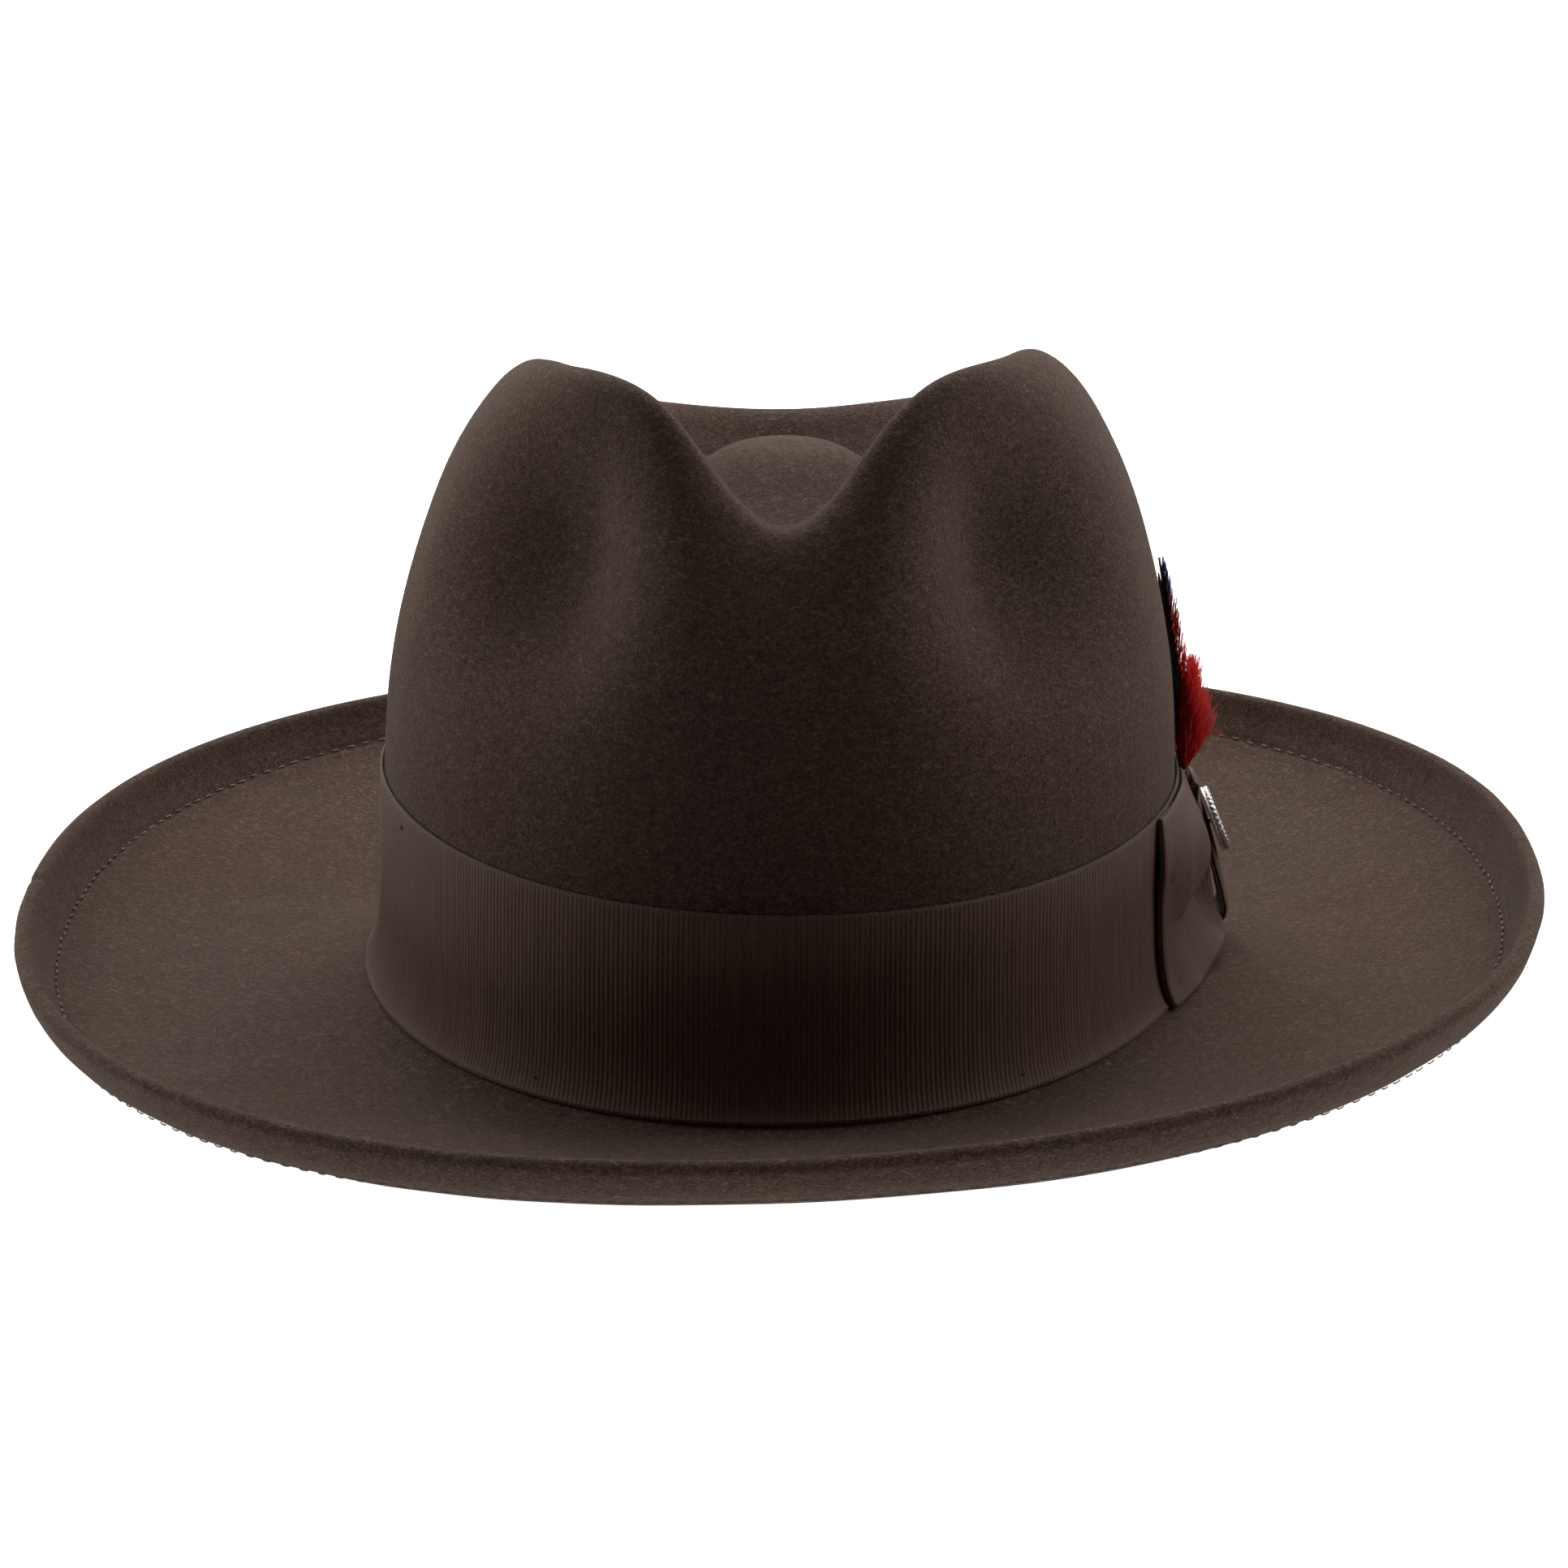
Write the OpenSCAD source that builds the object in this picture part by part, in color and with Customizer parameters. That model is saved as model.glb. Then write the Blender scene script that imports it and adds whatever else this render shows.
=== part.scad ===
// Fedora hat: teardrop crown with a front pinch, wide brim turned up all round,
// underwelted edge, grosgrain band with a side bow, feather and metal pin.
// Millimetres. Origin: centre of the footprint, on the surface the brim rests on.
// -Y is the front of the hat, +X is the wearer's left (bow side), +Z is up.

/* [Felt] */
// Thickness of one layer of felt
felt_t = 2.0; // [1.8:0.1:2.4]
// Depth of the two front dents
dent_depth = 17; // [6:1:19]
// Depth of the pinch valley below the two peaks
pinch_depth = 29; // [20:1:31]
// Width of the folded-under edge, in steps of the brim profile
welt_u = 2.6; // [2.2:0.1:2.8]

/* [Band and bow] */
// Thickness of the grosgrain band
band_t = 0.8; // [0.5:0.1:1.0]
// Angle of the front edge of the bow, measured from the front of the hat
bow_front = 60; // [54:1:66]
// Angle of the rear edge of the bow
bow_rear = 125; // [118:1:130]
// How far the loops of the bow stand off the band
bow_puff = 5.2; // [3:0.2:6]

/* [Feather] */
// Height of the feather tip above the resting surface
feather_top = 102; // [92:1:105]
// Width of the feather vane
vane_w = 15; // [10:1:18]
// Radius of the quill in its pocket
quill_r = 0.6; // [0.4:0.1:0.6]

/* [Pin] */
// Diameter of the pin badge
pin_d = 15; // [12:0.5:16]
// Diameter of the pin's post
post_d = 1.2; // [0.8:0.1:1.4]

/* [Inside] */
// Thickness of the leather sweatband
sweat_t = 1.0; // [0.8:0.1:1.2]
// Radius of the reed at the foot of the sweatband
reed_r = 0.9; // [0.7:0.1:1.0]

/* [Hidden] */

// Height of the profile's zero above the resting surface
lift = 3.912;
// Columns round the hat
cols = 72;
// Half-width in degrees of the pinch valley
pinch_w = 15.5;
// Front dents: angle from the front, outward lean in degrees a mm going down, height,
// half-width to the front and to the side in degrees, half-height below and above in mm
dent_a = 33.5; dent_lean = 0.08; dent_z = 105.5;
dent_wi = 12.5; dent_wo = 19; dent_wd = 22; dent_wu = 25;
// Wave of the brim
brim_wave = 1.2;

// Profile of the top surface, from the bump inside the crown out to the rim.
// Each row is one oval: half-width, half-length to the front, half-length to
// the back, squareness, height at the front, side and back, depth of the pinch,
// rise of the bow side, sideways lean.
K = [
 [  0.01, 0.01,  0.01, 2.0,  122.0, 122.0, 122.0,  0.0, 0.0, 1.2],
 [ 11.0,  15.0,  17.0, 2.0,  120.0, 120.5, 119.5,  0.0, 0.0, 1.2],
 [ 21.0,  33.0,  36.0, 2.0,  112.0, 115.0, 111.0,  0.0, 0.0, 1.2],
 [ 29.0,  49.0,  53.0, 2.0,  108.0, 111.0, 103.0,  1.0, 0.0, 1.2],
 [ 36.5,  60.0,  63.0, 2.0,  117.0, 117.0, 104.2,  6.0, 0.3, 1.2],
 [ 43.2,  67.5,  70.5, 2.05, 133.0, 129.5, 110.7, 18.0, 0.6, 1.2],
 [ 48.8,  72.5,  76.0, 2.1,  143.0, 137.5, 116.0, 26.0, 0.9, 1.2],
 [ 53.4,  76.0,  80.5, 2.1,  146.0, 139.5, 118.0, 29.0, 1.0, 1.2],
 [ 58.6,  79.0,  84.5, 2.1,  143.5, 137.5, 116.5, 27.0, 1.0, 1.2],
 [ 63.8,  82.3,  88.0, 2.1,  137.0, 132.5, 112.7, 22.5, 1.0, 1.2],
 [ 68.8,  86.3,  91.3, 2.1,  128.0, 125.0, 106.7, 18.0, 1.0, 1.1],
 [ 73.9,  90.5,  94.8, 2.1,  117.0, 114.5,  98.2, 14.0, 1.0, 1.0],
 [ 78.4,  94.5,  98.0, 2.1,  103.0, 101.5,  87.1,  9.0, 1.0, 0.8],
 [ 82.1,  98.0, 100.5, 2.15,  86.0,  87.0,  74.6,  5.0, 0.6, 0.6],
 [ 84.8, 101.0, 102.3, 2.15,  64.0,  71.0,  60.2,  1.5, 0.0, 0.4],
 [ 85.9, 102.6, 103.3, 2.15,  43.0,  52.0,  43.0,  0.0,-1.0, 0.2],
 [ 85.9, 103.0, 103.5, 2.15,  27.0,  35.0,  27.0,  0.0,-0.4, 0.0],
 [ 86.7, 103.4, 103.9, 2.15,  10.5,  19.5,  11.0,  0.0, 0.3, 0.0],
 [ 88.8, 105.0, 105.4, 2.15,   2.0,  11.5,   3.0,  0.0, 0.8, 0.0],
 [ 92.5, 108.4, 108.6, 2.15,  -1.2,   8.8,   0.2,  0.0, 1.2, 0.0],
 [100.0, 115.5, 115.5, 2.15,  -1.8,   8.2,   0.8,  0.0, 1.8, 0.0],
 [115.0, 130.0, 129.5, 2.17,  -0.2,   9.4,   5.5,  0.0, 2.6, 0.0],
 [135.0, 149.5, 148.5, 2.18,   3.2,  12.0,  14.0,  0.0, 3.6, 0.0],
 [150.2, 164.6, 164.4, 2.2,    6.8,  15.2,  21.6,  0.0, 4.3, 0.0],
 [156.6, 171.0, 170.8, 2.2,    9.4,  17.6,  25.4,  0.0, 4.5, 0.0],
 [160.0, 174.4, 174.3, 2.2,   12.4,  21.6,  29.0,  0.0, 4.6, 0.0],
 [161.6, 176.0, 176.0, 2.2,   15.0,  26.2,  32.6,  0.0, 4.7, 0.0]];
U_RIM = 26; // rim crest
U_GROOVE = 24; // stitch groove
U_TOP = 15; // upper edge of the band
U_FOOT = 18.4; // lower edge of the band

// A row of the profile between two given rows, by a Catmull-Rom curve
function key(u) = let (i = max(0, min(floor(u), len(K) - 2)), t = u - i,
    p0 = K[max(i - 1, 0)], p1 = K[i], p2 = K[i + 1], p3 = K[min(i + 2, len(K) - 1)])
    0.5 * (2 * p1 + (p2 - p0) * t + (2 * p0 - 5 * p1 + 4 * p2 - p3) * t * t
    + (3 * p1 - p0 - 3 * p2 + p3) * t * t * t);
function wrap(f) = let (g = (f + 180) % 360) (g < 0 ? g + 360 : g) - 180;
function clamp(x, a, b) = max(a, min(b, x));
// A point of the top surface: u along the profile, f the angle from the front
function surf(u, f) = let (k = key(u), S = sin(f), C = cos(f), a = k[0],
    b = C > 0 ? k[1] : k[2], n = k[3], h = abs(wrap(f)),
    z0 = k[5] + (k[4] - k[6]) / 2 * C + ((k[4] + k[6]) / 2 - k[5]) * C * C
       - k[7] * (pinch_depth / 29 * exp(-pow(h / pinch_w, 2)) + 0.12 * exp(-pow((180 - h) / 24, 2))) + k[8] * S
       + brim_wave * clamp((a - 90) / 75, 0, 1) * sin(2 * f),
    e = h - dent_a - dent_lean * (dent_z - z0),
    g = dent_depth * exp(-pow(e / (e < 0 ? dent_wi : dent_wo), 2) - pow((z0 - dent_z) / (z0 < dent_z ? dent_wd : dent_wu), 2))
       * clamp((u - 4) / 4, 0, 1),
    r = pow(pow(abs(S) / a, n) + pow(abs(C) / b, n), -1 / n) - g)
    [r * S + k[9], -r * C, z0 + lift];
function unit(v) = v / norm(v);
// Outward direction across the profile and unit normal of the top surface
function along(u, f) = unit(surf(min(u + 0.03, U_RIM), f) - surf(min(u + 0.03, U_RIM) - 0.06, f));
function nrm(u, f) = u < 0.3 ? [0, 0, 1] :
    unit(cross(surf(u, f + 0.5) - surf(u, f - 0.5), along(u, f)) * -1);
// A point at a height h above the top surface
function off(u, f, h) = surf(u, f) + h * nrm(u, f);

// Closed body round the hat from rows of points; open = both ends are poles
module ringed(rows, n, poles) {
    m = len(rows);
    pts = concat([for (r = rows) each r], poles);
    side = [for (i = [0:m - 2]) for (j = [0:n - 1]) let (k = (j + 1) % n)
        each [[i * n + j, i * n + k, (i + 1) * n + k], [i * n + j, (i + 1) * n + k, (i + 1) * n + j]]];
    caps = len(poles) == 2 ?
        [for (j = [0:n - 1]) let (k = (j + 1) % n) each [[m * n, k, j],
            [m * n + 1, (m - 1) * n + j, (m - 1) * n + k]]] :
        [for (j = [0:n - 1]) let (k = (j + 1) % n, l = (m - 1) * n)
            each [[l + j, l + k, k], [l + j, k, j]]];
    polyhedron(pts, concat(side, caps), convexity = 10);
}
// Band round the hat between heights h0 (inner) and h1 (outer) over the rows us
module hoop(us, h0, h1, n = cols) {
    rows = concat([for (u = us) [for (j = [0:n - 1]) off(u, j * 360 / n, h1)]],
        [for (i = [len(us) - 1:-1:0]) [for (j = [0:n - 1]) off(us[i], j * 360 / n, h0)]]);
    ringed(rows, n, []);
}
// Closed body from a grid of outer points and a grid of inner points (rows x columns)
function slab_faces(R, C) = let (o = R * C)
    concat(
    [for (i = [0:R - 2]) for (j = [0:C - 2]) let (a = i * C + j, b = a + 1, c = a + C, d = c + 1)
        each [[a, b, d], [a, d, c], [o + a, o + d, o + b], [o + a, o + c, o + d]]],
    [for (j = [0:C - 2]) let (a = j, b = j + 1, c = (R - 1) * C + j, d = c + 1)
        each [[a, o + b, b], [a, o + a, o + b], [c, d, o + d], [c, o + d, o + c]]],
    [for (i = [0:R - 2]) let (a = i * C, b = a + C, c = i * C + C - 1, d = c + C)
        each [[a, b, o + b], [a, o + b, o + a], [c, o + d, d], [c, o + c, o + d]]]);
module slab(outer, inner) {
    R = len(outer); C = len(outer[0]);
    polyhedron(concat([for (r = outer) each r], [for (r = inner) each r]), slab_faces(R, C), convexity = 6);
}
// Tube of radius r(i) along a list of points, closed at both ends
module tube(path, radii, sides = 8) {
    m = len(path);
    dirs = [for (i = [0:m - 1]) unit(path[min(i + 1, m - 1)] - path[max(i - 1, 0)])];
    rows = [for (i = [0:m - 1]) let (d = dirs[i], e = unit(cross(d, [0, 1, 0.01])), g = cross(d, e))
        [for (j = [0:sides - 1]) path[i] + radii[i] * (cos(j * 360 / sides) * e + sin(j * 360 / sides) * g)]];
    ringed([for (i = [m - 1:-1:0]) rows[i]], sides, [path[m - 1], path[0]]);
}
// Boxes given by centre, three half-axes: many separate stitches as one body list
function brick(c, a, b, n) = [for (k = [-1, 1]) for (j = [-1, 1]) for (i = [-1, 1]) c + i * a + j * b + k * n];
BF = [[0, 1, 3], [0, 3, 2], [4, 7, 5], [4, 6, 7], [0, 5, 1], [0, 4, 5],
      [2, 3, 7], [2, 7, 6], [0, 2, 6], [0, 6, 4], [1, 5, 7], [1, 7, 3]];
module bricks(list) {
    polyhedron([for (b = list) each b],
        [for (i = [0:len(list) - 1]) for (f = BF) [f[0] + 8 * i, f[2] + 8 * i, f[1] + 8 * i]], convexity = 10);
}

// ---- felt -------------------------------------------------------------
BAND_U = [U_TOP, 16, 17, 17.6, 18, U_FOOT]; // rows shared by the felt and the band
SWEAT_U = [14.75, 15.5, 16.3, 17.1, 17.6, 18.05]; // rows shared by the felt and the sweatband
LINE_U = [9.6, 10.4, 11.2, 12, 13, 14, 14.55]; // rows shared by the felt and the lining
function back(v) = [for (i = [len(v) - 1:-1:0]) v[i]];
TOP_U = concat([1, 2, 2.6, 3.2, 3.8, 4.4, 5, 5.5, 6, 6.5, 7, 7.5, 8, 8.5, 9, 10, 11, 12, 13, 14], BAND_U,
         [18.8, 19.4, 20.2, 21, 22, 23, 23.6, 24, 24.4, 25, 25.5, 26]);
IN_U = concat([22.2, 21, 20, 19.3, 18.7], back(SWEAT_U), back(LINE_U), [8.8, 8.2, 7.6, 7, 6.4, 5.6, 4.8, 4, 3.2, 2.2, 1]);
// The stitch line draws the felt in a little
function groove(u) = -0.5 * exp(-pow((u - U_GROOVE) / 0.25, 2));
module felt_body() color("#4a3d33") {
    ang = [for (j = [0:cols - 1]) j * 360 / cols];
    t2 = 2 * felt_t - 0.1;
    u_raw = U_RIM - welt_u;
    top = [for (u = TOP_U) [for (f = ang) off(u, f, groove(u))]];
    tip = [for (q = [45, 90, 135]) [for (f = ang) surf(U_RIM, f)
        + along(U_RIM, f) * t2 / 2 * sin(q) - nrm(U_RIM, f) * t2 / 2 * (1 - cos(q))]];
    under = [for (w = [[26, t2], [25.3, t2], [24.6, t2], [24, t2 - 0.2], [u_raw + 0.05, t2], [u_raw - 0.12, felt_t + 0.1]])
        [for (f = ang) off(w[0], f, -w[1])]];
    inner = [for (u = IN_U) [for (f = ang) off(u, f, -felt_t)]];
    ringed(concat(top, tip, under, inner), cols, [surf(0, 0), surf(0, 0) - [0, 0, felt_t]]);
}
// One stitch on the surface at u, f: half-length l along the row, half-width w, from h0 to h1 high
function stitch(u, f, l, w, h0, h1) = let (n = nrm(u, f), d = along(u, f), s = cross(n, d))
    brick(off(u, f, (h0 + h1) / 2), s * l, d * w, n * (h1 - h0) / 2);
module welt_stitching() color("#a9a2ae")
    bricks([for (i = [0:119]) stitch(U_GROOVE, i * 3 + 1.5, 1.2, 0.2, -0.24, 0.08)]);

// ---- band and bow -----------------------------------------------------
B0 = 0.15; // gap between felt and band
B1 = B0 + band_t; // outer face of the band
module ribbon_band() color("#3c2c22") hoop(BAND_U, B0, B1);
module ribbon_tacks() color("#6b5647")
    bricks([for (q = [[17.85, 331], [17.85, 29], [17.85, 210], [17.85, 150], [15.2, 300], [15.2, 180]])
        stitch(q[0], q[1], 0.5, 0.35, B1 + 0.12, B1 + 0.42)]);

// Loop of the bow between two angles: puffs out between its free edge and the knot
function puff(s, t) = 0.9 + bow_puff * pow(sin(clamp(s, 0, 1) * 115 + 8), 0.8) * (0.75 + 0.25 * cos(360 * (t - 0.18)))
    * (1 - 0.35 * t);
module bow_loop(f0, f1) {
    R = 9; C = 9;
    rows = [for (i = [0:R - 1]) let (s = i / (R - 1), f = f0 + (f1 - f0) * s)
        [for (j = [0:C - 1]) let (t = j / (C - 1), w = 1 - 0.12 * s * s,
            u = U_FOOT + (U_TOP + 0.1 - U_FOOT) * (0.5 + (t - 0.5) * w)) [u, f, s, t]]];
    o = [for (r = rows) [for (q = r) off(q[0], q[1], B1 + 0.3 + puff(q[2], q[3]))]];
    n = [for (r = rows) [for (q = r) off(q[0], q[1], B1 + 0.3)]];
    if (f1 > f0) slab(o, n); else slab([for (r = o) [for (j = [C - 1:-1:0]) r[j]]], [for (r = n) [for (j = [C - 1:-1:0]) r[j]]]);
}
KNOT_Y = 4.5; // centre of the knot
knot_f0 = 87.2; knot_f1 = 98.8;
module bow_front_loop() color("#453329") bow_loop(bow_front, knot_f0 - 0.6);
module bow_back_loop() color("#453329") bow_loop(bow_rear, knot_f1 + 0.6);

pin_tilt = 21;
pin_at = [94.8, KNOT_Y, 40.0];
module pin_axis() translate(pin_at) rotate([0, 90 - pin_tilt, 0]) children();
module bow_knot() color("#3f2f25") difference() {
    hull() for (y = [-7.2, 7.2]) translate([0, KNOT_Y + y, 0]) {
        for (p = [[90.2, 50.2, 0.6], [90.8, 26, 1.15], [96.1, 33.2, 1.15], [97.6, 24.5, 1.15], [96.6, 19.6, 1.15], [93.9, 19.3, 1.15]])
            translate([p[0], 0, p[1]]) sphere(r = p[2], $fn = 20);
    }
    pin_axis() translate([0, 0, -4.2]) cylinder(d = post_d + 0.1, h = 12, $fn = 32);
}

// ---- pin ---------------------------------------------------------------
module pin_badge() color("#c8c8c6") pin_axis() translate([0, 0, 0.2]) difference() {
    rotate_extrude($fn = 72) polygon([[0, 0], [pin_d / 2 - 0.5, 0], [pin_d / 2, 0.45], [pin_d / 2, 1.1],
        [pin_d / 2 - 0.3, 1.5], [pin_d / 2 - 1.0, 1.6], [pin_d / 2 - 1.5, 1.2], [pin_d / 2 - 2.6, 1.15],
        [pin_d / 2 - 3.2, 1.6], [pin_d / 2 - 3.9, 1.6], [pin_d / 2 - 4.4, 1.2], [1.6, 1.3], [1.1, 1.9], [0, 2.1]]);
    translate([0, 0, -0.1]) cylinder(d = post_d, h = 0.6, $fn = 32);
}
module pin_post() color("#b4b4b2") pin_axis() translate([0, 0, -3.4]) {
    cylinder(d = post_d, h = 4.05, $fn = 32);
    translate([0, 0, -0.4]) cylinder(d1 = post_d * 0.3, d2 = post_d, h = 0.4, $fn = 32);
}

// ---- feather -----------------------------------------------------------
QX = 88.4; // the quill's place in its pocket
QZ0 = 30; // foot of the quill
// Line of the quill at height z: straight in the pocket, then following the crown
QT = [[0, 0], [53, 0], [63, -0.3], [73, -1.2], [79, -2.4], [85, -3.4], [91, -4.3], [100, -5.7], [106, -6.6]];
function quill(z) = let (t = clamp((z - 53) / (feather_top - 53), 0, 1))
    [QX + lookup(z, QT), KNOT_Y + 5.5 * t * t, z];
module feather_quill() color("#d9cdb4") {
    zs = [QZ0, 44, 56, 62, 68, 74, 80, 86, 92, 98];
    tube([for (z = zs) quill(z)], [for (z = zs) quill_r * (z < 57 ? 1 : 1 - 0.6 * (z - 56) / 46)], 8);
}
// Blade of the feather, dx outside the quill, between heights z0 and z1
function leaf(t) = pow(sin(clamp(t, 0.02, 0.98) * 180), 0.55);
module blade(z0, z1, dx, w, th, skew) {
    R = 13; C = 5;
    g = [for (i = [0:R - 1]) let (t = i / (R - 1), z = z0 + (z1 - z0) * t, q = quill(z))
        [for (j = [0:C - 1]) let (v = (j / (C - 1) - 0.5) * w * leaf(t))
            q + [dx * (1 - (dx > 0 ? 0.6 : 0.3) * t) - 0.004 * v * v, v + skew * t, 0]]];
    slab(g, [for (r = g) [for (p = r) p + [th, 0, 0]]]);
}
module feather_vane() color("#c23a32") blade(56, feather_top, 1.1, vane_w, 0.6, 0);
module feather_barbs() color("#1d1d24") blade(58, feather_top - 7, -1.08, vane_w - 1, 0.3, 1.2);
// Fluffy tuft: flame-shaped rings that lean outwards
module hackle_tuft() color("#c9281e") {
    S = 12;
    T = [[55.2, 90.4, 0.5, 1.5], [57.5, 91.4, 1.2, 4.2], [61, 92.2, 2.0, 6.2], [65, 92.6, 2.4, 6.6],
         [70, 92.1, 2.1, 5.2], [74, 91.1, 1.4, 3.4], [77.5, 90.4, 0.7, 1.2]]; // height, middle, half-widths
    rows = [for (q = T) [for (j = [0:S - 1]) [QX - 88.2 + q[1] + q[2] * cos(j * 360 / S), KNOT_Y + 0.5 - q[3] * sin(j * 360 / S), q[0]]]];
    ringed(rows, S, [[QX + 2.0, KNOT_Y + 0.5, 55.0], [QX + 2.0, KNOT_Y + 0.5, 77.8]]);
}
module feather_binding() color("#5a2a22") translate([QX, KNOT_Y, 51.6]) rotate_extrude($fn = 32)
    polygon([[quill_r + 0.1, 0], [0.92, 0], [1.02, 0.3], [1.02, 2.9], [0.92, 3.2], [quill_r + 0.1, 3.2]]);

// ---- inside ------------------------------------------------------------
S0 = -felt_t - 0.25; // outer face of the sweatband
S1 = S0 - sweat_t;
module sweatband() color("#6a4a30") hoop(SWEAT_U, S1, S0);
module sweatband_reed() color("#8b6f52") {
    n = cols;
    rows = [for (j = [0:n - 1]) let (f = j * 360 / n, c = off(18.45, f, S0 - sweat_t / 2 - 0.1), N = nrm(18.45, f), D = along(18.45, f))
        [for (i = [0:7]) c + reed_r * (cos(i * 45) * N + sin(i * 45) * D)]];
    pts = [for (r = rows) each r];
    polyhedron(pts, [for (j = [0:n - 1]) for (i = [0:7]) let (a = j * 8 + i, b = j * 8 + (i + 1) % 8,
        c = ((j + 1) % n) * 8 + i, d = ((j + 1) % n) * 8 + (i + 1) % 8) each [[a, d, b], [a, c, d]]], convexity = 10);
}
module sweatband_stitching() color("#d8c8a8")
    bricks([for (i = [0:71]) stitch(17.7, i * 5 + 2.5, 1.6, 0.25, S1 - 0.5, S1 - 0.2)]);
module sweatband_bow() color("#2a2320") {
    for (k = [-1, 1]) translate([k * 4.6, surf(17, 180)[1] - 5.2, 21 + lift]) rotate([90, 0, 0])
        linear_extrude(1.2) offset(r = 0.8) polygon([[-2.6 * k, 0.5], [2.6 * k, 2.2], [2.6 * k, -2.2], [-2.6 * k, -0.5]]);
    translate([0, surf(17, 180)[1] - 4.9, 21 + lift]) rotate([90, 0, 0]) cylinder(r = 0.95, h = 1.8, $fn = 24);
}
module lining_side() color("#b79a68") hoop(LINE_U, -felt_t - 1.9, -felt_t - 1.3);
// A point below the crown, hanging clear of the felt
function low(u, f, d) = let (p = surf(u, f), k = 1 - 0.05 * clamp((u - 5.5) / 2.5, 0, 1))
    [p[0] * k, p[1] * k, p[2] - d - 1.5 * clamp((u - 6) / 2, 0, 1)];
module lining_tip() color("#c3a873") {
    us = [1, 2, 2.6, 3.2, 3.8, 4.4, 5, 5.6, 6.2, 6.8, 7.4, 8];
    n = 48;
    top = [for (u = us) [for (j = [0:n - 1]) low(u, j * 360 / n, 8.4)]];
    bot = [for (i = [len(us) - 1:-1:0]) [for (j = [0:n - 1]) low(us[i], j * 360 / n, 9.6)]];
    c = surf(0, 0);
    ringed(concat(top, bot), n, [c - [0, 0, 8.4], c - [0, 0, 9.6]]);
}
module size_tag() color("#e6e0d2") {
    R = 2; C = 6;
    o = [for (u = [16.1, 16.7]) [for (j = [0:C - 1]) off(u, 195 + j * 2.5, S1 - 0.2)]];
    n = [for (u = [16.1, 16.7]) [for (j = [0:C - 1]) off(u, 195 + j * 2.5, S1 - 0.6)]];
    slab(o, n);
}

felt_body();
welt_stitching();
ribbon_band();
ribbon_tacks();
bow_front_loop();
bow_back_loop();
bow_knot();
feather_quill();
feather_vane();
feather_barbs();
hackle_tuft();
feather_binding();
pin_badge();
pin_post();
sweatband();
sweatband_reed();
sweatband_stitching();
sweatband_bow();
lining_side();
lining_tip();
size_tag();
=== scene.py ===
"""Looks of the fedora hat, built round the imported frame. Geometry is worked out in millimetres and stored in metres."""
import math

import bpy
import numpy as np
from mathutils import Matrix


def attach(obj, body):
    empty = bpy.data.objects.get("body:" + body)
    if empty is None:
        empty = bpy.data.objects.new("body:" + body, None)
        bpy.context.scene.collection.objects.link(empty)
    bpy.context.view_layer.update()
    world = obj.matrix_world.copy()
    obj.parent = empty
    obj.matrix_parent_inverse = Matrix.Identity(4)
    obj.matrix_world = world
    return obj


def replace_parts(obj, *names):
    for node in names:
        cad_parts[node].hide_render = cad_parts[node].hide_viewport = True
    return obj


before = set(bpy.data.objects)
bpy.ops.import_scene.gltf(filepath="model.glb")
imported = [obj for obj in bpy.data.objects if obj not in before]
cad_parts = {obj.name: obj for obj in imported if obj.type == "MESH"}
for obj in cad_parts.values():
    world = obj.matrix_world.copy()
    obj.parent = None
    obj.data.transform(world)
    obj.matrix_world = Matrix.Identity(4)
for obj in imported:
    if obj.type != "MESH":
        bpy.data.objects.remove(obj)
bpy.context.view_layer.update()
rng = np.random.default_rng(11)

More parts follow.
